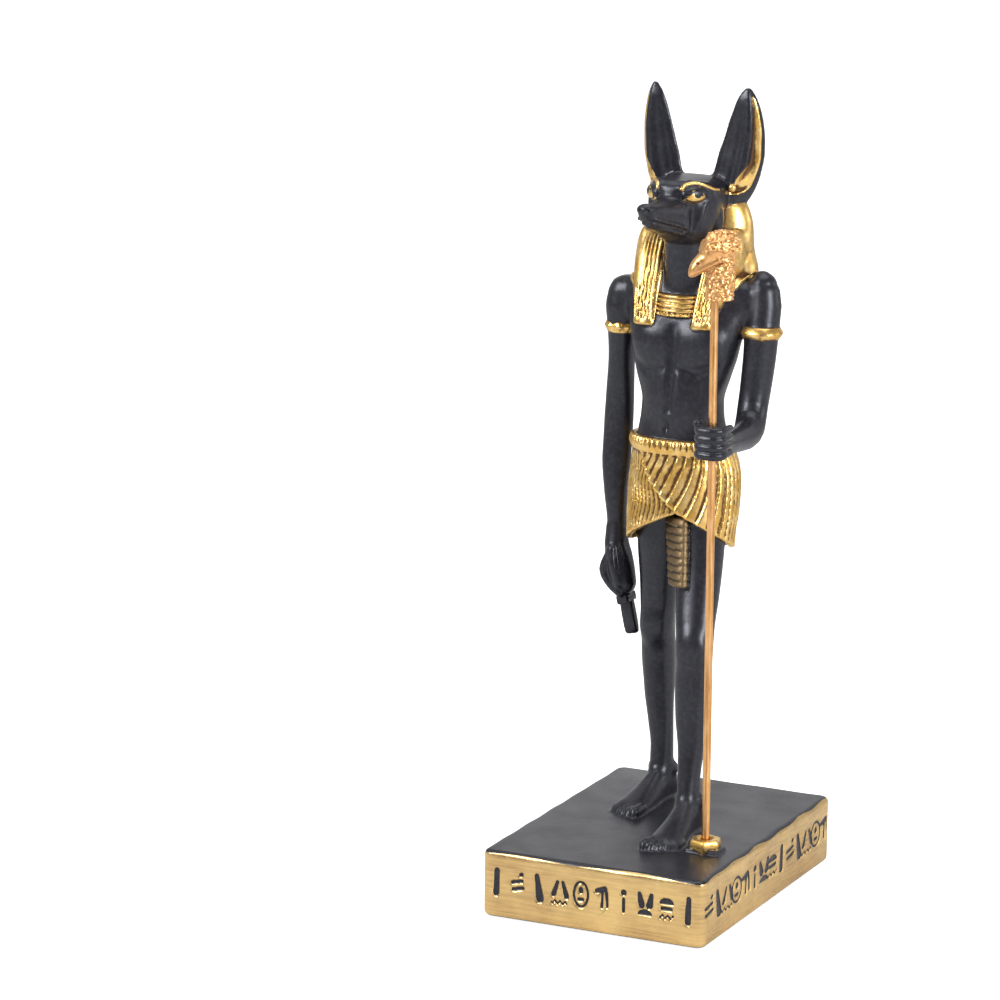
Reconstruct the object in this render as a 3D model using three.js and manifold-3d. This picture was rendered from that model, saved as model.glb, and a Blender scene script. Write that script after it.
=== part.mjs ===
// A jackal-headed standing figure with a staff, a cast resin statuette on an oblong plinth.
// Millimetres, +Z up. The origin is the middle of the plinth's underside and the figure faces -Y.

import * as THREE from 'three';
import { mergeVertices } from 'three/addons/utils/BufferGeometryUtils.js';
import Module from 'manifold-3d';

const wasm = await Module();
wasm.setup();

// Plinth
const plinthWidth = 61;
const plinthDepth = 85;
const plinthHeight = 17.5;
const plinthEdge = 1.4;
const plinthCornerShare = 1.5;
const strokeDepth = 0.5;
const strokeWidth = 1.2;
const strokeHeight = 5.6;
const strokePitch = 7.4;
const strokeMargin = 6;
const strokeCentreShare = 0.54;

// Figure: its height from the plinth's top to the ear tips, and where its own axis stands
const figureHeight = 187;
const figureX = -4.5;
const figureY = 18;

// Staff: a rod that runs through the left fist, from a socket in the plinth to the staff's head
const rodDiameter = 2;
const rodGap = 0.3;
const rodSides = 12;
const socketPlay = 0.7;
const socketWall = 2.1;
const socketHeight = 2.5;
// The collar's outline, as shares of its radius and of its height
const socketShares = [[0.96, -0.4], [1, 0.36], [0.94, 0.64], [0.78, 1]];
const socketDepth = 6;
const padHeight = 1;
const padWidth = 8.6;
const padDepth = 6.4;
const staffFootX = 20.4;
const staffFootY = -18;
const headHeight = 17.2;
const headBoreDepth = 7;
const rodAboveFist = 35.4;

// The body is drawn 187 tall, and every measure drawn in its tables grows with figureHeight
const drawnHeight = 187;
const grown = figureHeight / drawnHeight;
const headMiddle = -0.3;

const onPlinth = new THREE.Matrix4()
  .makeTranslation(figureX, figureY, plinthHeight)
  .scale(new THREE.Vector3(grown, grown, grown));

// Closed skins and solids

function middle(ring) {
  const sum = new THREE.Vector3();
  ring.forEach((point) => sum.add(point));
  return sum.divideScalar(ring.length);
}

function skin(rings, underside = middle(rings[0])) {
  const sides = rings[0].length;
  const corners = rings.flat();
  const under = corners.length;
  const over = under + 1;
  const last = under - sides;
  corners.push(underside, middle(rings[rings.length - 1]));
  const faces = [];
  for (let row = 0; row < rings.length - 1; row += 1) {
    for (let side = 0; side < sides; side += 1) {
      const here = row * sides + side;
      const next = row * sides + ((side + 1) % sides);
      faces.push(here, next, next + sides, here, next + sides, here + sides);
    }
  }
  for (let side = 0; side < sides; side += 1) {
    const next = (side + 1) % sides;
    faces.push(under, next, side, over, last + side, last + next);
  }
  const geometry = new THREE.BufferGeometry();
  geometry.setAttribute('position', new THREE.Float32BufferAttribute(corners.flatMap((p) => p.toArray()), 3));
  geometry.setIndex(faces);
  return geometry;
}

function solid(geometry, matrix = new THREE.Matrix4()) {
  const bare = geometry.clone();
  bare.deleteAttribute('normal');
  bare.deleteAttribute('uv');
  bare.applyMatrix4(matrix);
  const merged = mergeVertices(bare, 1e-4);
  return new wasm.Manifold(new wasm.Mesh({
    numProp: 3,
    vertProperties: new Float32Array(merged.attributes.position.array),
    triVerts: new Uint32Array(merged.index.array),
  }));
}

function joined(solids) {
  return solids.reduce((whole, piece) => whole.add(piece));
}

function geometryOf(body) {
  const mesh = body.getMesh();
  const geometry = new THREE.BufferGeometry();
  geometry.setAttribute('position', new THREE.BufferAttribute(mesh.vertProperties, 3));
  geometry.setIndex(new THREE.BufferAttribute(mesh.triVerts, 1));
  geometry.computeVertexNormals();
  return geometry;
}

// A point of a superellipse: power 2 is an ellipse, a higher power is boxier
function ovalPoint(angle, halfU, halfV, power) {
  const c = Math.cos(angle);
  const s = Math.sin(angle);
  return [
    halfU * Math.sign(c) * Math.abs(c) ** (2 / power),
    halfV * Math.sign(s) * Math.abs(s) ** (2 / power),
  ];
}

// A table's row at a place between its own rows
function rowAt(rows, place) {
  const above = Math.max(1, rows.findIndex((row) => row[0] >= place));
  const [low, high] = [rows[above - 1], rows[above]];
  const share = THREE.MathUtils.clamp((place - low[0]) / (high[0] - low[0]), 0, 1);
  return low.map((value, index) => value + (high[index] - value) * share);
}

// How a stack's own directions u, v and w lie in the figure: each turns a section the right way round
const layouts = {
  upright: (u, v, w) => new THREE.Vector3(u, v, w),
  forward: (u, v, w) => new THREE.Vector3(u, -w, v),
  sideways: (u, v, w) => new THREE.Vector3(w, u, v),
};

// A stack of oval sections. A row is [w, centre u, centre v, half width u, half width v].
// taper widens a section towards its top, and ripple(angle, w) multiplies its size.
function stack(rows, { layout = 'upright', sides = 20, power = 2.2, taper = 0, ripple = () => 1 } = {}) {
  return skin(rows.map(([w, centreU, centreV, halfU, halfV]) => {
    const ring = [];
    for (let side = 0; side < sides; side += 1) {
      const angle = (side / sides) * 2 * Math.PI;
      const [u, v] = ovalPoint(angle, halfU, halfV, power);
      const size = ripple(angle, w);
      const widened = u * size * (1 + (taper * v) / halfV);
      ring.push(layouts[layout](centreU + widened, centreV + v * size, w));
    }
    return ring;
  }));
}

// A limb or band along a bent line of points [x, y, z, radius]
function limb(points, sides) {
  const at = points.map(([x, y, z]) => new THREE.Vector3(x, y, z));
  const start = at[1].clone().sub(at[0]).normalize();
  const side = Math.abs(start.x) < 0.8 ? new THREE.Vector3(1, 0, 0) : new THREE.Vector3(0, 1, 0);
  return skin(points.map((point, index) => {
    const ahead = at[Math.min(index + 1, at.length - 1)];
    const behind = at[Math.max(index - 1, 0)];
    const along = ahead.clone().sub(behind).normalize();
    side.addScaledVector(along, -side.dot(along)).normalize();
    const across = along.clone().cross(side);
    const ring = [];
    for (let corner = 0; corner < sides; corner += 1) {
      const angle = (corner / sides) * 2 * Math.PI;
      ring.push(at[index].clone()
        .addScaledVector(side, Math.cos(angle) * point[3])
        .addScaledVector(across, Math.sin(angle) * point[3]));
    }
    return ring;
  }));
}

function ball([x, y, z], [halfX, halfY, halfZ], turn = 0) {
  const matrix = new THREE.Matrix4().makeTranslation(x, y, z)
    .multiply(new THREE.Matrix4().makeRotationZ(turn))
    .scale(new THREE.Vector3(halfX, halfY, halfZ));
  return new THREE.SphereGeometry(1, 8, 5).applyMatrix4(matrix);
}

const figurePiece = (geometry) => solid(geometry, onPlinth);

// Body tables, drawn on the figure's own axis with the soles at zero

const torso = [
  [92, 0.8, 0.8, 12, 8.6],
  [98, 0.7, 0.9, 11.7, 8.4],
  [103.5, 0.6, 0.9, 10.8, 7.9],
  [107, 0.6, 1, 10.6, 7.8],
  [114, 0.7, 1, 12.5, 7.5],
  [119, 0.9, 1.2, 13.9, 7.5],
  [124, 0.8, 1.7, 15, 7.5],
  [130, 0.8, 3, 16.4, 6.8],
  [135, 0.9, 4.4, 17, 5.8],
  [138.8, 0.6, 5, 13.5, 4.6],
  [141.5, 0, 5, 8, 3.6],
];
const neck = [
  [128, headMiddle, 4.5, 6, 5.4],
  [140, headMiddle, 3.8, 5.6, 5.5],
  [152, headMiddle, 3.8, 6, 6],
];
// A row of the shoulder yoke runs across the body: [x, y, z, half depth, half height]
const yoke = [
  [-18.2, 5.6, 132.4, 3.2, 3.6],
  [-13, 5.4, 133.4, 4.2, 4.8],
  [0, 5, 133.5, 4.6, 6],
  [13, 5, 133.8, 4.4, 5.4],
  [18, 5, 133.6, 3.8, 4.6],
];
const rightLeg = [
  [3, -5, 5.2, 3.1, 4],
  [10, -5.1, 4.6, 3, 3.2],
  [20, -5.6, 4.7, 3.4, 2.8],
  [29, -6.2, 4.7, 4, 3.5],
  [38.5, -6.3, 4.1, 4.4, 4.2],
  [51, -5.9, 2.3, 4.6, 3.9],
  [58.5, -5.7, 2.2, 5, 4.3],
  [68, -5.2, 1.8, 5.8, 5.2],
  [80, -4.6, 1, 6.4, 6.4],
];
const leftLeg = [
  [3, 12.9, -19.4, 2.9, 4.4],
  [10, 12.8, -19.1, 2.8, 3.5],
  [20, 12.5, -17.4, 3.4, 3],
  [29, 12, -16.1, 4.3, 3.6],
  [38.5, 11.9, -15.3, 4.8, 3.8],
  [51, 11.2, -13.2, 5, 4.3],
  [58.5, 10.2, -9.6, 5.5, 5.1],
  [68, 9.1, -5.8, 6, 5.5],
  [80, 8, -2.5, 6.4, 6],
];
// A foot's rows run from behind its heel to its toes, from the ankle's place:
// [forward, sideways, height of the section's middle, half width, half height]
const foot = [
  [-5.2, 0.2, 0.6, 1.8, 1.6],
  [-3.6, 0.1, 2.4, 2.8, 4.6],
  [0, 0, 3.4, 3.2, 6.4],
  [5, -0.3, 2.4, 3.3, 5],
  [10, -0.6, 1.5, 3.8, 3.7],
  [15, -0.9, 0.9, 4.3, 2.8],
  [18.6, -1.1, 0.5, 4.5, 2.3],
  [20.8, -1, 0.2, 4.1, 1.6],
];
const chestPlaces = [[-5.2, -2.3, 122.5], [6.8, -2.3, 122.5]];
const chestHalf = [6.2, 3.8, 6.4];
const rightAnkle = [-5, 5];
const leftAnkle = [12.9, -19.3];
const toeCount = 5;
const bigToeOffset = 2.2;
const toeSpread = 7.2;
const toeReach = 23.2;
const toeStagger = 3.6;
const bigToeRadius = 1.5;
const smallToeRadius = 0.9;

const rightArm = [
  [137.2, -17.6, 5.8, 2, 2.2],
  [135.8, -18, 5.9, 3.3, 3.7],
  [133, -18.4, 5.9, 4.1, 4.7],
  [129.5, -18.6, 5.5, 4.3, 4.8],
  [124, -18.6, 5.4, 3.8, 4.2],
  [115.5, -19, 6, 3.3, 3.8],
  [105.5, -19.5, 6.4, 3.7, 3.1],
  [90, -19.6, 5.1, 3.9, 2.7],
  [80.5, -19.2, 4, 3.1, 2.7],
  [71, -18.6, 3.7, 2.5, 2.6],
  [66, -18.6, 3.2, 2.6, 3.1],
].reverse();
const leftArm = [
  [19.6, 5.8, 139.4, 2],
  [20.1, 5.7, 137.6, 3.6],
  [20.8, 5, 132.6, 4.4],
  [21, 2.9, 124, 4.3],
  [20.4, 2.3, 115, 4.1],
  [20, 0.8, 107.5, 3.9],
  [20.8, -3, 102.6, 3.9],
  [21.6, -8, 101.4, 3.5],
  [22.3, -18, 102, 3],
  [23.4, -27, 103, 2.6],
  [24, -31.5, 104, 2.9],
];
const fistCentre = [23.7, -34.2, 105.3];
const fistReach = 4.4;
const fingerPitch = 2;

const skull = [
  [-17.6, headMiddle, 157.6, 2.6, 3],
  [-15.5, headMiddle, 157.4, 5.6, 5],
  [-11, headMiddle, 157, 8.4, 7],
  [-6, headMiddle, 156.3, 9.2, 8.4],
  [-1, headMiddle, 156.2, 9.1, 8.6],
  [3, headMiddle - 0.1, 156.6, 7.4, 8.1],
  [5.4, headMiddle - 0.2, 157.6, 5.2, 7.1],
  [7.2, headMiddle - 0.3, 159, 3.6, 5.4],
  [8, headMiddle - 0.3, 160, 2.9, 4.1],
];
const skullPower = 3;
const skullTaper = 0.16;
const snoutPower = 2.4;
const snout = [
  [2, headMiddle, 154.6, 6.6, 5.8],
  [7, headMiddle - 0.3, 155.9, 4.8, 4.6],
  [12, headMiddle - 0.4, 156.8, 3.7, 3.5],
  [17, headMiddle - 0.5, 157.6, 2.8, 2.8],
  [21, headMiddle - 0.6, 158.4, 2.2, 2.1],
  [22.4, headMiddle - 0.6, 158.7, 1.4, 1.4],
];
// Eyes and brows sit on the skull, forward of its axis and at an angle up its side
const eyeForward = 5;
const eyeAngle = THREE.MathUtils.degToRad(21);
const eyeTurn = THREE.MathUtils.degToRad(46);
const eyeHalf = [2.9, 1, 1.3];
const eyeSunk = 0.4;
const browForward = [7.4, -0.4];
const browAngles = [27, 50].map(THREE.MathUtils.degToRad);
const browArch = THREE.MathUtils.degToRad(23);
const browRadius = 0.6;
const browSunk = 0.1;
const browSteps = 4;
// The mouth's slit follows the snout's side, at an angle below its middle
const mouthForward = [22, 21, 17, 12, 7.6];
const mouthAngle = THREE.MathUtils.degToRad(-32);
const mouthRadius = 0.45;
// An ear is a leaf folded along a keel in front. Its rows are for the left ear, and the right one is its
// mirror image: [height, out, back, half length, keel's reach in front, reach behind]
const ear = [
  [156, 7.9, 11.2, 4, 3.2, 2],
  [160.5, 9, 11.6, 5.6, 4.4, 1.8],
  [164, 9.8, 11.8, 6.1, 4.8, 1.5],
  [168, 10.7, 12, 5.85, 4.6, 1.45],
  [172, 11.4, 12.1, 5.2, 4.15, 1.45],
  [177, 12.1, 12, 4.1, 3.5, 1.35],
  [181, 12.4, 11.8, 3.1, 2.7, 1.15],
  [184.5, 12.6, 11.4, 1.95, 1.5, 0.8],
  [187, 12.8, 11.3, 0.5, 0.5, 0.3],
];
const earTurn = THREE.MathUtils.degToRad(20);
// An ear's section, as shares of its half length and of its reach in front (below zero) or behind
const earSection = [
  [-1, 0], [-0.75, -0.38], [0.05, -0.95], [0.3, -0.92], [0.96, -0.14],
  [1, 0.15], [0.8, 0.6], [0.3, 1], [-0.4, 0.9], [-0.85, 0.45],
];
// The hollow lies between the keel and the ear's outer edge
const hollowPlace = [0.54, -0.62];
const hollowHalfShare = 0.43;
const hollowDepthShare = 0.3;
const hollowEndShare = 0.6;
const hollowSides = 8;

const hood = [
  [133.5, 0.9, 9.2, 15.6, 7.8],
  [140, 0.9, 9.8, 15.6, 8.2],
  [146, 0.4, 10.8, 14.4, 8],
  [152, 0.1, 11.6, 14, 6.6],
  [157, 0, 11.6, 12.4, 5.7],
  [159.8, 0, 11.6, 8.5, 3],
];
const hoodRidges = 12;
const hoodRidgeShare = 0.022;
const lappetRidges = 8;
const lappetRidgeShare = 0.035;
// The right lappet; the left one is its mirror image
const lappet = [
  [127, 7.9, -3.2, 2.9, 2.7],
  [134, 8.5, 0, 3.2, 3.8],
  [140, 8.9, 3, 3.5, 4],
  [147, 9.2, 6.6, 3.6, 3.8],
  [150, 9.2, 8.2, 3, 3],
];
// The wig's right side, from the hood forward to the lappet: [forward, out, height, half width, half height]
const wigSide = [
  [-11, 11.8, 142.4, 2.8, 8.8],
  [-6, 11.9, 142, 2.8, 8.6],
  [-3, 11.4, 139.8, 2.7, 7.2],
  [0, 10.6, 136.8, 2.5, 5.4],
  [2.6, 9.6, 133.6, 2.3, 3.6],
];
const necklace = [
  [129.6, headMiddle, 0.9, 6.5, 6.1],
  [134.8, headMiddle, 2.6, 6.2, 5.9],
];
const necklaceRibs = 3;
const necklaceRibHeight = 0.35;
const armbandHalf = 1.6;
const armbandRise = 0.8;

const kilt = [
  [67, 2, -2.8, 14.2, 10.4],
  [73.5, 1.9, -2.1, 14.4, 10.2],
  [79.5, 2, -1.2, 14.9, 9.5],
  [85.5, 1.9, -0.2, 15, 9.3],
  [91.5, 1.6, 0.7, 14.4, 9.3],
  [96, 1, 0.8, 13.4, 9.3],
];
const kiltPower = 2.1;
const kiltTop = 95.5;
const hemLow = 70;
const hemRise = 9.8;
const hemPeak = THREE.MathUtils.degToRad(-82);
const hemReach = THREE.MathUtils.degToRad(97);
const hemCurve = 1.2;
const wrapTop = THREE.MathUtils.degToRad(-132);
const wrapReach = THREE.MathUtils.degToRad(215);
const wrapStep = 0.9;
const wrapLift = 0.6;
const wrapLean = THREE.MathUtils.degToRad(38);
const wrapStraightShare = 0.5;
const pleatRise = 0.1;
const pleatDepth = 0.35;
const underPleats = 18;
const wrapPleats = 17;
const kiltRows = 4;
// Under the belt the pleats have this share of their depth, and are full at this share of the kilt's fall
const gatherShare = 0.35;
const gatherReach = 0.33;
const belt = [
  [94.4, 1, 0.8, 13.4, 9.5],
  [96.2, 0.9, 0.8, 14, 10.1],
  [98.2, 0.8, 0.8, 13.2, 9.3],
];
const fingerCount = 4;
// The right hand's palm, its first finger, the step to the others, and its thumb
const rightPalm = [
  [54.6, -17, 2, 1.8, 2.4],
  [58, -17.9, 2.2, 2.7, 3.4],
  [63, -18.3, 2.6, 3, 3.5],
  [67.5, -18.6, 3.1, 2.8, 3.2],
  [71, -18.6, 3.7, 2.5, 2.6],
];
const rightFinger = [
  [-20, 4.3, 65, 0.7],
  [-20.4, 4.3, 60.8, 1.1],
  [-18.6, 4.3, 56, 1.1],
  [-15.8, 4.3, 54.4, 0.9],
];
const rightFingerPitch = 1.8;
const rightThumb = [
  [-17.2, -0.6, 66.5, 1.1],
  [-16.4, -1.4, 61.5, 1.3],
  [-16.6, -1.2, 56, 0.8],
];
// The left fist's palm, top finger and thumb, from the fist's own middle
const fistPalm = [
  [-4.4, 0, 0.2, 2.6, 2.8],
  [-3.6, 0, 0, 3.4, 3.9],
  [3.4, 0, 0, 3.4, 3.9],
  [4.4, 0, 0.2, 2.6, 2.6],
];
const fistFinger = [
  [3.5, 2, 2.7, 0.8],
  [3.2, -1.8, 2.7, 1.1],
  [1, -3.4, 2.7, 1.1],
  [-2, -2.9, 2.7, 1.1],
  [-3.3, 0.4, 2.7, 0.8],
];
const fistThumb = [
  [-0.8, 4.4, 2.4, 1.3],
  [-2.9, 1, 3.4, 1.3],
  [-2.4, -3, 4, 0.8],
];
// The ankh's own point is the crossing of its arms. Its foot and arms are drawn straight and its loop
// is curved: [across, up], with the curve's two handles before its end.
const ankhBars = [[0.9, -9.6], [0.8, -1.2], [3, -1.5], [3, 1.2], [0.9, 0.9]];
const ankhLoop = [2.6, 3, 2.6, 7, 0, 7.2];
const ankhPlace = [-15.8, 3.1, 52.6];
const ankhTilt = THREE.MathUtils.degToRad(-12);
const ankhThickness = 2.6;
// The tab that hangs over the left thigh: the middles of its top and foot, and its half widths there
const tabTop = [2.9, -6.9, 78.5];
const tabFoot = [5.9, -12.4, 61.6];
const tabTopHalf = 4.9;
const tabFootHalf = 3.7;
const tabHalfThickness = 1.5;
const tabRibHeight = 0.4;
const tabTurn = THREE.MathUtils.degToRad(-38);
const tabRibs = 7;

// The staff's head, drawn 17.2 tall on the staff's axis with its foot at zero and its beak towards -Y,
// then turned about the staff
const drawnHeadHeight = 17.2;
const headTurn = THREE.MathUtils.degToRad(-50);
const headNeck = [
  [0, 0, 1.2, 3.2, 3.4],
  [5, 0, 1.5, 3.1, 3.5],
  [12.5, 0, 1.2, 3, 4],
];
const headSkull = [
  [-5.6, 0, 13.2, 1.6, 1.6],
  [-4.6, 0, 13.2, 2.7, 2.7],
  [-1.5, 0, 13.2, 3.5, 3.5],
  [1.5, 0, 12.4, 3.2, 3.4],
  [3.6, 0, 11.2, 2.4, 2.6],
];
const headBeak = [
  [0.5, 0, 10.2, 2.8, 2.8],
  [3, 0, 9.2, 2.3, 2.3],
  [5, 0, 8.2, 1.8, 1.8],
  [6.3, 0, 7.4, 1.1, 1.2],
  [6.8, 0, 7.1, 0.5, 0.6],
];
const headCrest = [
  [0, -1.6, 15.2, 1.5],
  [0, 1.5, 15.8, 1.4],
  [0, 4.2, 15.4, 1.2],
  [0, 6, 14.6, 0.6],
];
const headEyePlace = [2.9, -1.2, 13.4];
const headEyeHalf = [1, 1.6, 1.6];

// The figure's parts

function body() {
  return [
    stack(torso, { sides: 14, power: 2.4 }),
    stack(neck, { sides: 8 }),
    stack(yoke, { layout: 'sideways', sides: 8 }),
    ...chestPlaces.map((place) => ball(place, chestHalf)),
    stack(rightLeg, { sides: 12 }),
    stack(leftLeg, { sides: 12 }),
    stack(rightArm, { sides: 10 }),
    limb(leftArm, 10),
  ].map(figurePiece);
}

// bigToeSide is 1 where the big toe lies towards +X
function footPieces([ankleX, ankleY], bigToeSide) {
  const rows = foot.map(([forward, sideways, height, halfWidth, halfHeight]) => (
    [forward - ankleY, ankleX + sideways * bigToeSide, height, halfWidth, halfHeight]));
  const pieces = [stack(rows, { layout: 'forward', sides: 10 })];
  for (let toe = 0; toe < toeCount; toe += 1) {
    const share = toe / (toeCount - 1);
    const x = ankleX + bigToeSide * (bigToeOffset - toeSpread * share);
    const tip = ankleY - toeReach + toeStagger * share ** 1.5;
    const radius = bigToeRadius + (smallToeRadius - bigToeRadius) * share ** 0.5;
    pieces.push(limb([
      [x, tip + 5, radius, radius * 0.8],
      [x, tip + 1.2, radius * 0.9, radius],
      [x, tip, radius * 0.6, radius * 0.5],
    ], 5));
  }
  return pieces.map(figurePiece);
}

// A point of the skull's or snout's surface, forward of the head's axis and at an angle up its side
function facePoint(rows, side, forward, angle, { power, taper = 0, sunk = 0 }) {
  const [, centreX, centreZ, halfX, halfZ] = rowAt(rows, forward);
  const [u, v] = ovalPoint(angle, halfX, halfZ, power);
  const out = u * (1 + (taper * v) / halfZ) - sunk;
  return [centreX + side * out, -forward, centreZ + v];
}

function headPieces() {
  const pieces = [
    stack(skull, { layout: 'forward', sides: 14, power: skullPower, taper: skullTaper }),
    stack(snout, { layout: 'forward', sides: 10, power: snoutPower }),
  ];
  for (const side of [-1, 1]) {
    const onSkull = (forward, angle, sunk) => (
      facePoint(skull, side, forward, angle, { power: skullPower, taper: skullTaper, sunk }));
    pieces.push(ball(onSkull(eyeForward, eyeAngle, eyeSunk), eyeHalf, side * eyeTurn));
    const brow = [];
    for (let step = 0; step <= browSteps; step += 1) {
      const share = step / browSteps;
      const forward = THREE.MathUtils.lerp(...browForward, share);
      const angle = THREE.MathUtils.lerp(...browAngles, share) + browArch * Math.sin(Math.PI * share);
      brow.push([...onSkull(forward, angle, browSunk), browRadius]);
    }
    pieces.push(limb(brow, 4));
  }
  return pieces.map(figurePiece);
}

function mouthLines() {
  return [-1, 1].map((side) => figurePiece(limb(mouthForward.map((forward) => (
    [...facePoint(snout, side, forward, mouthAngle, { power: snoutPower }), mouthRadius])), 4)));
}

// A point of an ear's section, from the ear's own axis: along it towards the outer edge, and behind it
function earPoint([height, x, y], side, along, behind) {
  const out = along * Math.cos(earTurn) - behind * Math.sin(earTurn);
  const back = along * Math.sin(earTurn) + behind * Math.cos(earTurn);
  return new THREE.Vector3(headMiddle + side * (x + out), y + back, height);
}

function earRing(row, side) {
  const [, , , halfLength, keel, reach] = row;
  return earSection.map(([along, behind]) => (
    earPoint(row, side, along * halfLength, behind * (behind < 0 ? keel : reach))));
}

function hollowRing(row, side, size) {
  const [, , , halfLength, keel] = row;
  const turn = Math.atan2(keel, halfLength);
  const length = Math.hypot(halfLength, keel) * hollowHalfShare * size;
  const depth = keel * hollowDepthShare * size;
  const ring = [];
  for (let corner = 0; corner < hollowSides; corner += 1) {
    const [along, deep] = ovalPoint((corner / hollowSides) * 2 * Math.PI, length, depth, 2);
    ring.push(earPoint(
      row,
      side,
      hollowPlace[0] * halfLength + along * Math.cos(turn) - deep * Math.sin(turn),
      hollowPlace[1] * keel + along * Math.sin(turn) + deep * Math.cos(turn),
    ));
  }
  return ring;
}

function earPiece(side) {
  const facing = (ring) => (side > 0 ? ring : ring.reverse());
  const outer = skin(ear.map((row) => facing(earRing(row, side))));
  const inner = ear.slice(1, -1);
  const hollow = skin(inner.map((row, index) => {
    const size = index % (inner.length - 1) === 0 ? hollowEndShare : 1;
    return facing(hollowRing(row, side, size));
  }));
  return figurePiece(outer).subtract(figurePiece(hollow));
}

function wigPieces() {
  const ridged = (ridges, share) => (angle) => 1 + share * Math.cos(angle * ridges);
  const lappetPieces = [-1, 1].map((side) => stack(
    lappet.map(([z, x, y, halfX, halfY]) => [z, headMiddle + side * x, y, halfX, halfY]),
    { sides: lappetRidges * 2, power: 3, ripple: ridged(lappetRidges, lappetRidgeShare) },
  ));
  const sidePieces = [-1, 1].map((side) => stack(
    wigSide.map(([forward, out, z, halfX, halfZ]) => [forward, headMiddle + side * out, z, halfX, halfZ]),
    { layout: 'forward', sides: 8, power: 2.6 },
  ));
  return [
    ...sidePieces,
    stack(hood, { sides: hoodRidges * 2, power: 2.1, ripple: ridged(hoodRidges, hoodRidgeShare) }),
    ...lappetPieces,
  ].map(figurePiece);
}

// Rows of a table at evenly spaced heights, with raised ribs between them
function ribbedRows(rows, ribs, ribHeight) {
  const [low, high] = [rows[0], rows[rows.length - 1]];
  const steps = ribs * 2;
  const ribbed = [];
  for (let step = 0; step <= steps; step += 1) {
    const share = step / steps;
    const row = low.map((value, index) => value + (high[index] - value) * share);
    const rise = step % 2 === 1 ? ribHeight : 0;
    ribbed.push([row[0], row[1], row[2], row[3] + rise, row[4] + rise]);
  }
  return ribbed;
}

function bands() {
  const armband = (z, x, y, halfX, halfY) => stack([
    [z - armbandHalf, x, y, halfX, halfY],
    [z, x, y, halfX + armbandRise, halfY + armbandRise],
    [z + armbandHalf, x, y, halfX, halfY],
  ], { sides: 10 });
  return [
    armband(124.2, -18.6, 5.4, 3.7, 4.1),
    armband(126, 21, 3.3, 4.3, 4.3),
    stack(ribbedRows(necklace, necklaceRibs, necklaceRibHeight), { sides: 12, power: 2.4 }),
    stack(belt, { sides: 18 }),
  ].map(figurePiece);
}

// The angle from one direction to another, between minus and plus half a turn
function turnFrom(start, angle) {
  return THREE.MathUtils.euclideanModulo(angle - start + Math.PI, 2 * Math.PI) - Math.PI;
}

// The kilt's hem is lowest at the sides and back, and rises to a peak in front
function hemAt(angle) {
  const drop = Math.min(1, Math.abs(turnFrom(hemPeak, angle)) / hemReach);
  return hemLow + hemRise * (1 - drop) ** hemCurve;
}

// A point of the kilt's surface, down its height from belt to hem, raised above its table's oval.
// The cloth lies flatter where the belt gathers it.
function kiltPoint(angle, down, raised) {
  const z = kiltTop + (hemAt(angle) - kiltTop) * down;
  const gathered = raised * Math.min(1, gatherShare + down / gatherReach);
  const [, centreX, centreY, halfX, halfY] = rowAt(kilt, z);
  const [x, y] = ovalPoint(angle, halfX + gathered, halfY + gathered, kiltPower);
  return new THREE.Vector3(centreX + x, centreY + y, z);
}

const pleatAt = (column) => (column % 2 === 0 ? pleatDepth : -pleatDepth);

// The kilt's rings from the hem up, closed below by a hollow that keeps the hem's edge clear
function kiltSkin(ringAt, lift = 0) {
  const rings = [];
  for (let row = 0; row < kiltRows; row += 1) {
    rings.push(ringAt(1 - row / (kiltRows - 1)));
  }
  const ceiling = middle(rings[0]);
  ceiling.z = hemLow + hemRise + lift;
  return figurePiece(skin(rings, ceiling));
}

// The kilt's own cloth hangs in upright pleats all round
function kiltUnder() {
  const columns = underPleats * 2;
  return kiltSkin((down) => Array.from({ length: columns }, (_, column) => (
    kiltPoint((column / columns) * 2 * Math.PI, down, pleatAt(column)))));
}

// The wrapped panel lies over it. Its front edge slants from the belt to the hem's peak. Its pleats fan
// up and back from that edge and straighten towards the left hip: each column follows a pleat from the
// belt down to the edge or the hem. Each ring closes at the kilt's axis.
function kiltWrap() {
  const slant = hemPeak - wrapTop;
  const wrapPoint = (share, fall, raised) => {
    const lean = wrapLean * Math.max(0, 1 - (share / wrapStraightShare) ** 2);
    const down = fall * Math.min(1, (wrapReach * share) / (lean + slant));
    return kiltPoint(wrapTop + wrapReach * share - lean * down, down, raised);
  };
  return kiltSkin((fall) => {
    const ring = [];
    for (let column = 0; column < wrapPleats * 2; column += 1) {
      const ridge = column % 2 === 0;
      const share = (Math.floor(column / 2) + (ridge ? pleatRise : 1 - pleatRise)) / wrapPleats;
      const step = wrapStep - (wrapStep + 2 * pleatDepth) * share ** 3;
      ring.push(wrapPoint(share, fall, step + (ridge ? pleatDepth : -pleatDepth)));
    }
    const z = kiltTop + (hemLow + hemRise + wrapLift - kiltTop) * fall;
    const [, centreX, centreY] = rowAt(kilt, z);
    ring.push(new THREE.Vector3(centreX, centreY, z));
    return ring;
  }, wrapLift);
}

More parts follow.
